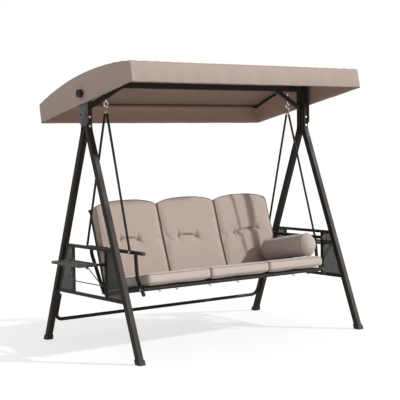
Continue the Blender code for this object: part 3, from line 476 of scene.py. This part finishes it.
def inflated(mesh, pressure, cap, dent=None):
    """Cloth filled by pressure, with held dents, and no point moved further than the cap."""
    count = len(mesh.vertices)
    rest = np.empty(count * 3)
    mesh.vertices.foreach_get("co", rest)
    rest = rest.reshape(-1, 3)
    start = rest.copy()
    held = np.zeros(count)
    if dent is not None:
        start, held = dent(start)
        mesh.vertices.foreach_set("co", start.ravel())
    piece = bpy.data.objects.new("cloth", mesh)
    bpy.context.scene.collection.objects.link(piece)
    group = piece.vertex_groups.new(name="held")
    for index in np.nonzero(held > 0.02)[0]:
        group.add([int(index)], float(held[index]), "REPLACE")
    cloth = piece.modifiers.new("Cloth", "CLOTH")
    cloth.settings.quality = 6
    cloth.settings.mass = 0.3
    cloth.settings.tension_stiffness = 14
    cloth.settings.compression_stiffness = 9
    cloth.settings.shear_stiffness = 4
    cloth.settings.bending_stiffness = 0.35
    cloth.settings.use_pressure = True
    cloth.settings.uniform_pressure_force = pressure
    cloth.settings.effector_weights.gravity = 0
    cloth.settings.vertex_group_mass = "held"
    cloth.point_cache.frame_start = 1
    cloth.point_cache.frame_end = CLOTH_FRAMES
    for number in range(1, CLOTH_FRAMES + 1):
        bpy.context.scene.frame_set(number)
    result = evaluated_mesh(piece)
    bpy.data.objects.remove(piece)
    bpy.data.meshes.remove(mesh)
    bpy.context.scene.frame_set(1)
    swollen = np.empty(count * 3)
    result.vertices.foreach_get("co", swollen)
    move = swollen.reshape(-1, 3) - start
    length = np.linalg.norm(move, axis=1, keepdims=True)
    move *= np.minimum(1.0, cap / np.maximum(length, 1e-9))
    result.vertices.foreach_set("co", (start + move).ravel())
    return result


def settle(mesh, low, high, floor_axis, seed, wrinkle=0.0014, gap=0.0016):
    """Fills the cushion's place, flat against its neighbours and its support, and adds soft creasing."""
    points = np.array([vertex.co[:] for vertex in mesh.vertices])
    least = points.min(axis=0)
    size = np.ptp(points, axis=0)
    room = np.array(high - low) * (1.004, 1.0, 1.0)
    centre = np.array(high + low) / 2
    points = (points - least - size / 2) * (room / size) + centre
    mesh.vertices.foreach_set("co", points.ravel())
    mesh.update()
    for vertex in mesh.vertices:
        ripple = noise.noise(vertex.co * 11 + Vector((seed, 0, 0))) + 0.5 * noise.noise(vertex.co * 31)
        vertex.co += vertex.normal * ripple * wrinkle
        vertex.co.x = min(max(vertex.co.x, low.x + gap), high.x - gap)
        vertex.co.z = max(vertex.co.z, low.z)
        if floor_axis == 1:
            vertex.co.y = min(vertex.co.y, high.y)


def subdivided(mesh):
    """One level of subdivision, applied."""
    piece = bpy.data.objects.new("smooth", mesh)
    bpy.context.scene.collection.objects.link(piece)
    piece.modifiers.new("Subdivision", "SUBSURF").levels = 1
    result = evaluated_mesh(piece)
    bpy.data.objects.remove(piece)
    bpy.data.meshes.remove(mesh)
    return result


def surface_of(mesh):
    """A mesh's faces, for finding points on them."""
    return BVHTree.FromPolygons([vertex.co for vertex in mesh.vertices],
                                [tuple(polygon.vertices) for polygon in mesh.polygons])


def add_welt(shape, mesh, loop, radius=0.0034):
    """A piping cord sewn along a loop, laid on the cushion's surface."""
    tree = surface_of(mesh)
    points = []
    for point in loop:
        location, normal, _, _ = tree.find_nearest(Vector(point))
        points.append(location + normal * radius * 0.25)
    count = len(points)
    for _ in range(2):
        points = [(points[i - 1] + points[i] * 2 + points[(i + 1) % count]) / 4 for i in range(count)]
    add_tube(shape, points, radius, 8, closed=True)


def rounded_rectangle(half_x, half_y, radius, step=0.012):
    """Evenly spaced points round a rectangle with round corners."""
    corners = ((half_x - radius, half_y - radius, 0), (radius - half_x, half_y - radius, 90),
               (radius - half_x, radius - half_y, 180), (half_x - radius, radius - half_y, 270))
    outline = [Vector((x + radius * math.cos(math.radians(start + turn)),
                       y + radius * math.sin(math.radians(start + turn))))
               for x, y, start in corners for turn in range(0, 91, 15)]
    points = []
    for first, second in zip(outline, outline[1:] + outline[:1]):
        pieces = max(1, round((second - first).length / step))
        points.extend(first.lerp(second, k / pieces) for k in range(pieces))
    return points


def arched_outline(half_width, length, crown, radius=0.02, step=0.012):
    """Points round a back cushion's face: square foot, arched top."""
    side = length - crown
    outline = [Vector(point) for point in
               ((radius - half_width, 0), (half_width - radius, 0), (half_width, radius))]
    outline += [Vector((half_width * math.cos(a), side + crown * math.sin(a)))
                for a in (math.pi * k / 18 for k in range(19))]
    outline.append(Vector((-half_width, radius)))
    points = []
    for first, second in zip(outline, outline[1:] + outline[:1]):
        pieces = max(1, round((second - first).length / step))
        points.extend(first.lerp(second, k / pieces) for k in range(pieces))
    return points


def corners_of(node):
    """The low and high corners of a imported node's box, and its middle."""
    low, high = (Vector(corner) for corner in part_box(node))
    return low, high, (low + high) / 2


def make_seat_cushions():
    """Three boxed cushions with welted edges, swollen by their filling."""
    for index, label in enumerate(("left", "middle", "right")):
        node = f"{label}_seat_cushion"
        matrix = Matrix.Translation(corners_of(node)[2]) @ Matrix.Rotation(-SEAT_TILT, 4, "X")
        mesh, low, high = local_shape(node, matrix, 0.0035)
        mesh = remeshed(mesh, 0.009)
        mesh = inflated(mesh, 5.0, 0.013)
        settle(mesh, low, high, 2, 3.1 * index)
        mesh = subdivided(mesh)
        welts = bmesh.new()
        half_x = (high.x - low.x) / 2 - 0.006
        half_y = (high.y - low.y) / 2 - 0.006
        for height in (high.z - 0.007, low.z + 0.010):
            loop = [(p.x, p.y, height) for p in rounded_rectangle(half_x, half_y, 0.022)]
            add_welt(welts, mesh, [(x * 1.02, y * 1.02, z) for x, y, z in loop])
        add_boxing_seam(welts, mesh, half_x, low, high)
        mesh.transform(matrix)
        piece = add_piece(f"{label}_seat_pad", mesh, "seat", (SEAT_CLOTH,))
        add_form(f"{label}_seat_welts", welts, "seat", PIPING, matrix)
        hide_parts(node)


def add_boxing_seam(shape, mesh, half_x, low, high):
    """The closed slide fastener along the boxing at the back of a seat cushion."""
    tree = surface_of(mesh)
    points = []
    for step in range(41):
        x = (half_x - 0.03) * (step / 20 - 1)
        location, normal, _, _ = tree.find_nearest(Vector((x, high.y, (low.z + high.z) / 2)))
        points.append(location + normal * 0.0003)
    add_tube(shape, points, 0.0016, 6)


def bell(distance, width, height=1.0):
    """A rounded bump, highest where the distance is nothing."""
    return height * np.exp(-(distance / width) ** 2)


def tuft_depth(points, tufts, fine):
    """How far each point of a back cushion is pulled in by its tufts, and where it is stitched down."""
    front = np.clip((0.25 * BACK_THICKNESS - points[:, 1]) / (0.5 * BACK_THICKNESS), 0, 1)
    across = points[:, 0]
    up = points[:, 2]
    depth = np.zeros(len(points))
    held = np.zeros(len(points))
    (x0, z0), (x1, z1) = tufts
    for x, z in tufts:
        distance = np.hypot(across - x, up - z)
        if fine:
            # Small folds round the tuft, its pit, and a pucker that rises from it
            turn = np.arctan2(up - z, across - x)
            folds = np.maximum(0, np.cos(4 * turn + 0.5 * math.pi + 8 * x))
            depth += folds * bell(distance - 0.018, 0.020, 0.0035) + bell(distance, 0.010, 0.0030)
            rise = np.clip((up - z) / PUCKER_LENGTH, 0, 1)
            lean = 0.10 * (up - z) * (1 if x > 0 else -1)
            pucker = bell(across - x - lean, 0.0085, 0.0105) * (up > z) * (1 - rise) ** 0.6
            depth = np.maximum(depth, pucker)
        else:
            # The stitched pit and the soft hollow round it
            depth = np.maximum(depth, bell(distance, 0.017, 0.014))
            depth = np.maximum(depth, bell(distance, 0.050, 0.005))
            held = np.maximum(held, np.where(distance < 0.012, 1.0, 0.0))
    # The arched crease from one tuft to the other
    run = np.clip((across - x0) / (x1 - x0), 0, 1)
    line = z0 + (z1 - z0) * run + CREASE_ARCH * np.sin(math.pi * run) ** 0.7
    between = np.where((across > x0) & (across < x1), 1.0, 0.0)
    crease = bell(up - line, 0.0065, 0.0095) if fine else bell(up - line, 0.009, 0.005)
    return np.maximum(depth, crease * between) * front, np.where(front > 0.5, held, 0.0)


def make_back_cushions():
    """Three arched cushions with two tufts each."""
    up = Vector((0, math.sin(RECLINE), math.cos(RECLINE)))
    for index, label in enumerate(("left", "middle", "right")):
        node = f"{label}_back_cushion"
        foot = corners_of(node)[2] - up * BACK_LENGTH / 2
        matrix = Matrix.Translation(foot) @ Matrix.Rotation(-RECLINE, 4, "X")
        mesh, low, high = local_shape(node, matrix, 0.0035)
        mesh = remeshed(mesh, 0.008)

        def dented(points, tufts=TUFTS[label]):
            depth, held = tuft_depth(points, tufts, False)
            return points + np.outer(depth, (0, 1, 0)), held

        mesh = inflated(mesh, 4.0, 0.008, dented)
        settle(mesh, low, high, 1, 7.3 * index + 1, 0.0013, 0.0042)
        mesh = subdivided(mesh)
        points = np.array([vertex.co[:] for vertex in mesh.vertices])
        points[:, 1] += tuft_depth(points, TUFTS[label], True)[0]
        mesh.vertices.foreach_set("co", points.ravel())
        mesh.update()
        # The welts and tuft buttons use the darker back piping cloth, which paints the shade of the seams
        # between cushions and of the tuft pits.
        trims = bmesh.new()
        for y in (low.y + 0.007, high.y - 0.007):
            outline = arched_outline(high.x - 0.002, high.z - low.z + 0.002, 0.05)
            add_welt(trims, mesh, [(p.x, y, p.y + low.z - 0.001) for p in outline])
        tree = surface_of(mesh)
        for x, z in TUFTS[label]:
            hit, _, _, _ = tree.ray_cast(Vector((x, -0.3, z)), Vector((0, 1, 0)))
            add_turned(trims, ((0.0065, -0.003), (0.0075, 0.0), (0.0068, 0.0018), (0.0045, 0.0030),
                               (0.0012, 0.0034)), facing((0, -1, 0), hit))
        mesh.transform(matrix)
        piece = add_piece(f"{label}_back_pad", mesh, "seat", (CUSHION,))
        add_form(f"{label}_back_trims", trims, "seat", BACK_PIPING_PAINTED_SHADE, matrix)
        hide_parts(node)


def make_bolster():
    """A round bolster with welted ends and gathered, slightly crowned caps."""
    points = np.array([vertex.co[:] for vertex in NODES["bolster"].data.vertices])
    middle = points.mean(axis=0)
    axis = np.linalg.svd(points - middle)[2][0]
    axis *= -1 if axis[1] > 0 else 1
    along = (points - middle) @ axis
    half = (along.max() - along.min()) / 2
    centre = Vector(middle + axis * (along.max() + along.min()) / 2)
    radius = float(np.linalg.norm((points - middle) - np.outer(along, axis), axis=1).max())
    matrix = facing(axis, centre)
    shape = bmesh.new()
    sides = 96
    profile = []
    for sign in (-1, 1):
        cap = [(radius * r, half - BOLSTER_DOME + (BOLSTER_DOME + BOLSTER_CROWN) * (1 - r ** 2.6)) for r in
               (0.03, 0.12, 0.25, 0.4, 0.55, 0.66, 0.76, 0.84, 0.90, 0.945, 0.975)]
        profile.append([(r, sign * h) for r, h in cap])
    reach = half - BOLSTER_DOME - 0.001
    body = [(radius * (0.982 + 0.016 * math.sin(math.pi * t) ** 0.7), reach * (2 * t - 1))
            for t in (k / 40 for k in range(41))]
    add_turned(shape, profile[0] + body + profile[1][::-1], matrix, sides)
    mesh = to_mesh("bolster_pad", shape)
    mesh.update()
    for vertex in mesh.vertices:
        local = matrix.inverted() @ vertex.co
        turn = math.atan2(local.y, local.x)
        end = max(0.0, abs(local.z) / half - 0.55) / 0.45
        pleat = 0.0013 * end * math.sin(23 * turn + 2 * noise.noise(local * 9))
        pleat *= min(1.0, math.hypot(local.x, local.y) / radius)
        soft = 0.0022 * noise.noise(local * 13)
        vertex.co += vertex.normal * (pleat + soft - 0.001)
    piece = add_piece("bolster_pad", mesh, "seat", (BOLSTER,))
    trims = bmesh.new()
    for sign in (-1, 1):
        ring = [matrix @ Vector((radius * 0.982 * math.cos(a), radius * 0.982 * math.sin(a), sign * reach))
                for a in (2 * math.pi * k / 72 for k in range(72))]
        add_tube(trims, ring, 0.0036, 8, closed=True)
    add_form("bolster_trims", trims, "seat", PIPING)
    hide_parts("bolster")


# ---------------------------------------------------------------- canopy

CANOPY = Matrix.Translation((0, 0, CANOPY_PIVOT_Z)) @ Matrix.Rotation(-CANOPY_TILT, 4, "X")


def roof_height(x, y):
    """Height of the roof cloth: the arch, with a little sag between its tubes and small tension folds."""
    arch = CANOPY_CROWN - (CANOPY_CROWN - CANOPY_SHOULDER) * (y / CANOPY_HALF_DEPTH) ** 2
    across = math.cos(math.pi * x / (2 * CANOPY_HALF_LENGTH))
    bay = abs(math.sin(math.pi * y / 0.557)) if abs(y) < 0.557 else 0.0
    sag = 0.0075 * bay * across
    corner = max(0.0, (abs(x) / CANOPY_HALF_LENGTH + abs(y) / CANOPY_HALF_DEPTH) - 1.2)
    folds = 0.0022 * corner * math.sin(70 * (abs(x) - abs(y)))
    soft = 0.0016 * noise.noise(Vector((x * 2.6, y * 6, 0.3)))
    return arch - 0.001 - sag + folds + soft


def roof_point(along, across):
    """A point of the roof for its shares of the length and the depth."""
    x = (CANOPY_HALF_LENGTH - SIDE_SHOULDER) * (2 * along - 1)
    front = -CANOPY_HALF_DEPTH + FRONT_SHOULDER
    rear = CANOPY_HALF_DEPTH - REAR_SHOULDER
    y = front * (1 - across) + rear * across
    return x, y, roof_height(x, y)


def roof_rim(grid):
    """The roof's edge points in turn, each with the way it faces, fanned out at the corners."""
    edges = (([line[0] for line in grid], 270), (grid[-1], 0), ([line[-1] for line in grid[::-1]], 90),
             (grid[0][::-1], 180))
    rim = []
    for line, angle in edges:
        rim += [(vertex, angle) for vertex in line]
        rim += [(line[-1], angle + turn) for turn in range(15, 90, 15)]
    return rim


def add_skirt(shape, rim):
    """The rounded shoulder and the valance below the roof's rim. Returns their rings of points."""
    rings = [[shoulder_point(vertex.co, angle, step / 5) for vertex, angle in rim] for step in range(1, 6)]
    shoulder_foot = rings[-1]
    for step in range(1, 13):
        rings.append([valance_point(point, angle, step / 12)
                      for point, (_, angle) in zip(shoulder_foot, rim)])
    previous = [vertex for vertex, _ in rim]
    for number, ring in enumerate(rings):
        made = [shape.verts.new(point) for point in ring]
        for k in range(len(made)):
            after = (k + 1) % len(made)
            corners = [previous[k], previous[after], made[after], made[k]]
            face = shape.faces.new(corners[1:] if previous[k] is previous[after] else corners)
            face.material_index = 2 if number > 3 else 0
        previous = made
    return rings


def make_canopy():
    """One sheet: arched roof, rounded shoulder and valance, with its hem, seams and tube pockets."""
    shape = bmesh.new()
    rings = add_skirt(shape, roof_rim(add_grid(shape, 120, 76, roof_point)))
    bmesh.ops.remove_doubles(shape, verts=shape.verts, dist=1e-6)
    area = sum(face.calc_area() for face in shape.faces)
    mesh = to_mesh("canopy_cloth", shape, CANOPY)
    # Slots: roof outside, roof underside, valance outside, valance inside. The valance inside takes a
    # lighter copy of the lining, painted light in place of the light it misses.
    piece = add_piece("canopy_cloth", mesh, "canopy", (ROOF, LINING, ROOF, VALANCE_LINING_PAINTED_LIGHT))
    thicken(piece, 0.0011, -1.0, 1)
    trims = bmesh.new()
    add_canopy_trims(trims, rings[-1], rings[2], rings[-3])
    trim = add_form("canopy_hem", trims, "canopy", HEM, CANOPY)
    sleeves = bmesh.new()
    for node in ("canopy_front_tube", "canopy_rear_tube", "canopy_ridge_tube"):
        add_sleeve(sleeves, node)
    sleeve = add_form("canopy_sleeves", sleeves, "canopy", LINING)
    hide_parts("canopy_fabric")


def add_sleeve(shape, node):
    """The cloth pocket that a roof tube runs in."""
    local = [CANOPY.inverted() @ vertex.co for vertex in NODES[node].data.vertices]
    low, high = (Vector(map(pick, zip(*local))) for pick in (min, max))
    middle = (low + high) / 2
    reach = high.x - 0.035
    points = [(reach * (k / 30 - 1), middle.y, middle.z + 0.0006 * math.sin(k * 1.7))
              for k in range(61)]
    ring = bmesh.new()
    add_tube(ring, points, (high.z - low.z) / 2 + 0.0018, 16)
    mesh = to_mesh("sleeve", ring, CANOPY)
    shape.from_mesh(mesh)
    bpy.data.meshes.remove(mesh)


def shoulder_point(base, angle, share):
    """A point on the rounded edge outside a roof point, for a share of the quarter turn."""
    end = FRONT_SHOULDER if base.y < 0 else REAR_SHOULDER
    out_x = math.cos(math.radians(angle))
    out_y = math.sin(math.radians(angle))
    turn = share * math.pi / 2
    drop = (SIDE_SHOULDER * out_x ** 2 + end * out_y ** 2) * (1 - math.cos(turn))
    out = Vector((out_x * SIDE_SHOULDER * math.sin(turn), out_y * end * math.sin(turn), 0))
    return base + out - Vector((0, 0, drop))


def valance_point(top, angle, share):
    """A point down the valance: a gentle wave that grows towards the hem, and none at the corners."""
    out = Vector((math.cos(math.radians(angle)), math.sin(math.radians(angle)), 0))
    run = top.x * out.y - top.y * out.x
    wave = 0.0024 * math.sin(run * 19 + 1.3 * math.sin(run * 5)) + 0.0014 * math.sin(run * 47)
    straight = 1.0 if angle % 90 == 0 else 0.0
    billow = 0.008 * math.sin(math.pi * min(1.0, 1.25 * share)) * max(0.0, 1 - abs(run / 0.95) ** 6)
    if angle == 90:
        billow += 0.006 * (1 - share)
    point = top + out * (straight * (share * (wave - 0.0012) + 0.5 * billow))
    point.z = top.z + (CANOPY_HEM - top.z) * share
    return point


def add_canopy_trims(shape, hem_ring, rim_ring, stitch_ring):
    """Hem roll, shoulder seam, stitching and the eyelets round the tilt studs."""
    add_tube(shape, hem_ring, 0.0017, 6, closed=True)
    add_tube(shape, rim_ring, 0.0011, 6, closed=True)
    add_tube(shape, stitch_ring, 0.0008, 5, closed=True)
    for x in (-CANOPY_HALF_LENGTH, CANOPY_HALF_LENGTH):
        for radius in (0.0105, 0.0135):
            ring = [(x * 1.0006, radius * math.cos(a), radius * math.sin(a))
                    for a in (2 * math.pi * k / 28 for k in range(28))]
            add_tube(shape, ring, 0.0015, 6, closed=True)


# ---------------------------------------------------------------- slings and side mesh

def make_sling(name, node, matrix_turn, sag):
    """A support cloth stretched between rails, hemmed all round."""
    centre = corners_of(node)[2]
    matrix = Matrix.Translation(centre) @ matrix_turn
    local = [matrix.inverted() @ vertex.co for vertex in NODES[node].data.vertices]
    half = [max(abs(point[k]) for point in local) for k in range(3)]
    run = 1 if half[1] > half[2] else 2
    through = 3 - run

    def sling_point(along, across):
        x = half[0] * (2 * along - 1)
        s = 2 * across - 1
        place = Vector((x, 0, 0))
        place[run] = half[run] * s
        place[through] = sag * (1 - s * s) * (1 - (x / half[0]) ** 8)
        place[through] += 0.0006 * noise.noise(Vector((x * 8, s * 3, 1.7)))
        return matrix @ place

    shape = bmesh.new()
    add_grid(shape, 90, 32, sling_point)
    area = sum(face.calc_area() for face in shape.faces)
    mesh = to_mesh(name, shape)
    piece = add_piece(name, mesh, "seat", (SLING,))
    thicken(piece, 0.0014, 0.0)
    hem = bmesh.new()
    for s in (-1, 1):
        points = []
        for i in range(61):
            place = Vector((half[0] * (i / 30 - 1), 0, 0))
            place[run] = half[run] * s
            points.append(matrix @ place)
        add_tube(hem, points, 0.0022, 8)
        points = []
        for j in range(31):
            place = Vector((half[0] * s, 0, 0))
            place[run] = half[run] * (j / 15 - 1)
            points.append(matrix @ place)
        add_tube(hem, points, 0.0019, 8)
    trim = add_form(name + "_hem", hem, "seat", STRAND)
    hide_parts(node)


def make_side_mesh():
    """Open woven infill beside each post, strand by strand."""
    for side, _ in SIDES:
        for end in ("front", "rear"):
            node = f"{side}_{end}_mesh_panel"
            points = np.array([vertex.co[:] for vertex in NODES[node].data.vertices])
            x = float(points[:, 0].mean())
            sign = 1 if points[:, 1].mean() > 0 else -1
            low = points[:, 2].min()
            high = points[:, 2].max()
            away = np.abs(points[:, 1])
            inner = away.min()
            outer_low = away[points[:, 2] < low + 1e-3].max()
            outer_high = away[points[:, 2] > high - 1e-3].max()
            shape = bmesh.new()
            rows = int((high - low) / STRAND_PITCH)
            for k in range(rows + 1):
                z = low + (high - low) * k / rows
                outer = outer_low + (outer_high - outer_low) * k / rows
                add_strand(shape, x + STRAND_HALF_DEPTH, (sign * inner, z), (sign * outer, z))
            count = int((outer_low - inner) / STRAND_PITCH)
            for k in range(count + 1):
                y = inner + (outer_low - inner) * k / count
                top = high
                if y > outer_high:
                    top = low + (high - low) * (outer_low - y) / (outer_low - outer_high)
                if top - low > 0.003:
                    add_strand(shape, x - STRAND_HALF_DEPTH, (sign * y, low), (sign * y, top))
            border = [(x, sign * y, z) for y, z in
                      ((inner, low), (outer_low, low), (outer_high, high), (inner, high))]
            edging = bmesh.new()
            for first, second in zip(border, border[1:] + border[:1]):
                add_tube(edging, (first, second), 0.0018, 8)
            hem = add_form(f"{side}_{end}_infill_edging", edging, "frame", STRAND)
            piece = add_piece(f"{side}_{end}_woven_infill", to_mesh("infill", shape), "frame",
                              (STRAND,), smooth=False)
            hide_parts(node)


def add_strand(shape, x, start, end):
    """One flat yarn between two (y, z) points of a side panel."""
    half = STRAND_WIDTH / 2
    aside = (half, 0) if start[0] == end[0] else (0, half)
    corners = []
    for y, z in (start, end):
        for way in (-1, 1):
            for depth in (-STRAND_HALF_DEPTH, STRAND_HALF_DEPTH):
                corners.append(shape.verts.new((x + depth, y + way * aside[0], z + way * aside[1])))
    a, b, c, d, e, f, g, h = corners
    for face in ((a, b, d, c), (e, g, h, f), (a, e, f, b), (c, d, h, g), (a, c, g, e), (b, f, h, d)):
        shape.faces.new(face)


# ---------------------------------------------------------------- fasteners and trim

def leg_y(z):
    """Distance of a leg's sloping axis from the middle, at a height."""
    return LEG_FOOT_Y - (LEG_FOOT_Y - LEG_BEND_Y) / LEG_BEND_Z * z


def make_frame_fasteners():
    """Bolts on legs, crossbars, apex plates, braces and stretcher, and the joint line round the posts."""
    bright = bmesh.new()
    dark = bmesh.new()
    for _, sign in SIDES:
        outward = (sign, 0, 0)
        for direction in (-1, 1):
            for z in CROSSBAR_HEIGHTS:
                add_bolt(dark, (sign * LEG_FACE_X, direction * leg_y(z), z), outward)
            for z in POST_BOLT_HEIGHTS:
                place = (sign * POST_X, direction * POST_FACE_Y, z)
                add_bolt(bright, place, (0, direction, 0), 0.0060, 0.0040)
            for z in PLATE_BOLT_HEIGHTS:
                place = (sign * PLATE_FACE_X, direction * PLATE_BOLT_Y, z)
                add_bolt(dark, place, outward, 0.0065, 0.0035)
        for z in STRETCHER_BOLT_HEIGHTS:
            add_bolt(dark, (sign * LEG_FACE_X, leg_y(z), z), outward, 0.0065, 0.0045)
        for x, z in BRACE_BOLTS:
            add_bolt(dark, (sign * x, -BEAM_FACE_Y, z), (0, -1, 0), 0.006, 0.004)
    add_form("frame_bolts_bright", bright, "frame", ZINC)
    add_form("frame_bolts_dark", dark, "frame", BLACK_BOLT)
    sleeves = bmesh.new()
    for _, sign in SIDES:
        for direction in (-1, 1):
            y = direction * LEG_BEND_Y
            ring = [(sign * POST_X + a, y + b, POST_JOINT_Z) for a, b in
                    ((-0.0201, -0.0195), (0.0201, -0.0195), (0.0201, 0.0195), (-0.0201, 0.0195))]
            add_tube(sleeves, ring, 0.0006, 6, closed=True)
    add_form("post_joints", sleeves, "frame", GREY_STEEL)


def make_lacing_hooks():
    """Wire hooks that hold the sling's lacing, under the front rail."""
    hooks = bmesh.new()
    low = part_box("seat_front_rail")[0]
    for x in HOOK_PLACES:
        hook = [Vector((x, -0.3520, low[2] + 0.010)), Vector((x, -0.3545, low[2] - 0.003)),
                Vector((x, -0.3640, low[2] - 0.0095)), Vector((x, -0.3740, low[2] - 0.010)),
                Vector((x, -0.3800, low[2] - 0.005))]
        add_tube(hooks, hook, 0.0028, 8)
    add_form("lacing_hooks", hooks, "seat", BLACK_BOLT)


def make_seat_fasteners():
    """Bolts at the feet of the rods and on the side tubes."""
    shape = bmesh.new()
    for _, sign in SIDES:
        outward = (sign, 0, 0)
        for y in ROD_FOOT_YS:
            add_bolt(shape, (sign * ROD_FOOT_X, y, ROD_FOOT_Z), outward, 0.0065, 0.0045)
        for (x, y, z), radius, height in SIDE_BOLTS:
            add_bolt(shape, (sign * x, y, z), outward, radius, height)
    add_form("seat_fasteners", shape, "seat", ZINC)


def make_end_plugs():
    """Plastic plugs in the ends of the armrests and rails."""
    caps = bmesh.new()
    for side, sign in SIDES:
        low, high, middle = corners_of(f"{side}_armrest")
        for y, way in ((low.y, -1), (high.y, 1)):
            add_rounded_block(caps, (middle.x, y - way * 0.0050, middle.z), (high.x - low.x + 0.0020,
                              0.013, high.z - low.z + 0.0020), 0.005)
        for node in ("seat_front_rail", "seat_rear_rail", "back_top_rail"):
            low, high, middle = corners_of(node)
            radius = (high.z - low.z) / 2
            end = Vector((sign * high.x, middle.y, middle.z))
            add_turned(caps, ((radius * 0.98, -0.003), (radius * 1.04, -0.0005), (radius * 1.02, 0.0006),
                              (radius * 0.8, 0.0012), (radius * 0.1, 0.0014)), facing((sign, 0, 0), end))
    add_form("end_plugs", caps, "seat", CAP)


def add_rounded_block(shape, centre, size, bevel):
    """A small block with rounded edges, added to a bmesh."""
    matrix = Matrix.Translation(centre) @ Matrix.Diagonal((*size, 1.0))
    made = bmesh.ops.create_cube(shape, size=1.0, matrix=matrix)
    edges = {edge for vertex in made["verts"] for edge in vertex.link_edges}
    bmesh.ops.bevel(shape, geom=list(edges), offset=bevel, segments=3, affect="EDGES", profile=0.5)


def soften_edges(node, width, body, material):
    """A packed sheet or bar shown with slightly rounded edges."""
    mesh = NODES[node].data.copy()
    shape = bmesh.new()
    shape.from_mesh(mesh)
    bmesh.ops.remove_doubles(shape, verts=shape.verts, dist=0.00002)
    bmesh.ops.dissolve_limit(shape, angle_limit=math.radians(1), verts=shape.verts, edges=shape.edges)
    shape.to_mesh(mesh)
    shape.free()
    piece = add_piece(node + "_finish", mesh, body, (material,))
    bevel = piece.modifiers.new("Rounded edges", "BEVEL")
    bevel.width = width
    bevel.segments = 2
    bevel.limit_method = "ANGLE"
    bevel.angle_limit = math.radians(40)
    bevel.harden_normals = True
    bake(piece)
    piece.data.shade_smooth()
    piece.data.set_sharp_from_angle(angle=math.radians(50))
    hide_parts(node)


# ---------------------------------------------------------------- studio

def make_studio():
    """Pale floor, pale surroundings, and one low key light from the front right."""
    shape = bmesh.new()
    bmesh.ops.create_grid(shape, x_segments=1, y_segments=1, size=60)
    floor = bpy.data.objects.new("floor", to_mesh("floor", shape))
    bpy.context.scene.collection.objects.link(floor)
    s = Shader("floor_white", 0.9)
    s.surface.inputs["Specular IOR Level"].default_value = 0.1
    s.surface.inputs["Emission Color"].default_value = (1.0, 1.0, 1.0, 1.0)
    s.surface.inputs["Emission Strength"].default_value = FLOOR_GLOW
    floor.data.materials.append(s.finish(s.ramp(s.noise(0.7, 2), ((0.3, (0.225, 0.225, 0.225)),
                                                                 (0.7, (0.230, 0.230, 0.230))))))
    world = bpy.data.worlds.new("studio")
    world.use_nodes = True
    background = world.node_tree.nodes["Background"]
    background.inputs["Color"].default_value = (1.0, 1.0, 0.995, 1.0)
    background.inputs["Strength"].default_value = 1.0
    bpy.context.scene.world = world
    sun = bpy.data.lights.new("key", "SUN")
    sun.energy = KEY_STRENGTH
    sun.angle = math.radians(2.6)
    sun.color = (0.985, 1.0, 1.0)
    lamp = bpy.data.objects.new("key", sun)
    lamp.rotation_euler = KEY_DIRECTION.to_track_quat("-Z", "Y").to_euler()
    bpy.context.scene.collection.objects.link(lamp)


def make_camera():
    """The camera, long and slightly above the armrests, from the front left."""
    level = Vector((math.sin(CAMERA_YAW), math.cos(CAMERA_YAW), 0))
    ahead = level * math.cos(CAMERA_PITCH) - Vector((0, 0, math.sin(CAMERA_PITCH)))
    right = Vector((math.cos(CAMERA_YAW), -math.sin(CAMERA_YAW), 0))
    up = right.cross(ahead)
    turned_right = right * math.cos(CAMERA_ROLL) + up * math.sin(CAMERA_ROLL)
    turned_up = up * math.cos(CAMERA_ROLL) - right * math.sin(CAMERA_ROLL)
    data = bpy.data.cameras.new("camera")
    data.sensor_width = 36
    data.lens = CAMERA_LENS
    data.clip_end = 200
    camera = bpy.data.objects.new("camera", data)
    columns = Matrix((turned_right, turned_up, -ahead)).transposed()
    camera.matrix_world = Matrix.Translation(CAMERA_PLACE) @ columns.to_4x4()
    bpy.context.scene.collection.objects.link(camera)
    bpy.context.scene.camera = camera


make_camera()
dress_frame()
make_seat_cushions()
make_back_cushions()
make_bolster()
make_canopy()
make_sling("seat_support", "seat_sling", Matrix.Rotation(-SEAT_TILT, 4, "X"), -0.004)
make_sling("back_support", "back_sling", Matrix.Rotation(-RECLINE, 4, "X"), 0.003)
make_side_mesh()
make_frame_fasteners()
make_lacing_hooks()
make_seat_fasteners()
make_end_plugs()
for side_name, _ in SIDES:
    soften_edges(f"{side_name}_tray", 0.0016, f"{side_name}_tray_top", TRAY)
    soften_edges(f"{side_name}_panel_ladder", 0.0015, "frame", STEEL)
    soften_edges(f"{side_name}_apex_plate", 0.0006, "frame", GREY_STEEL)
make_studio()
bpy.context.scene.view_settings.view_transform = "Standard"
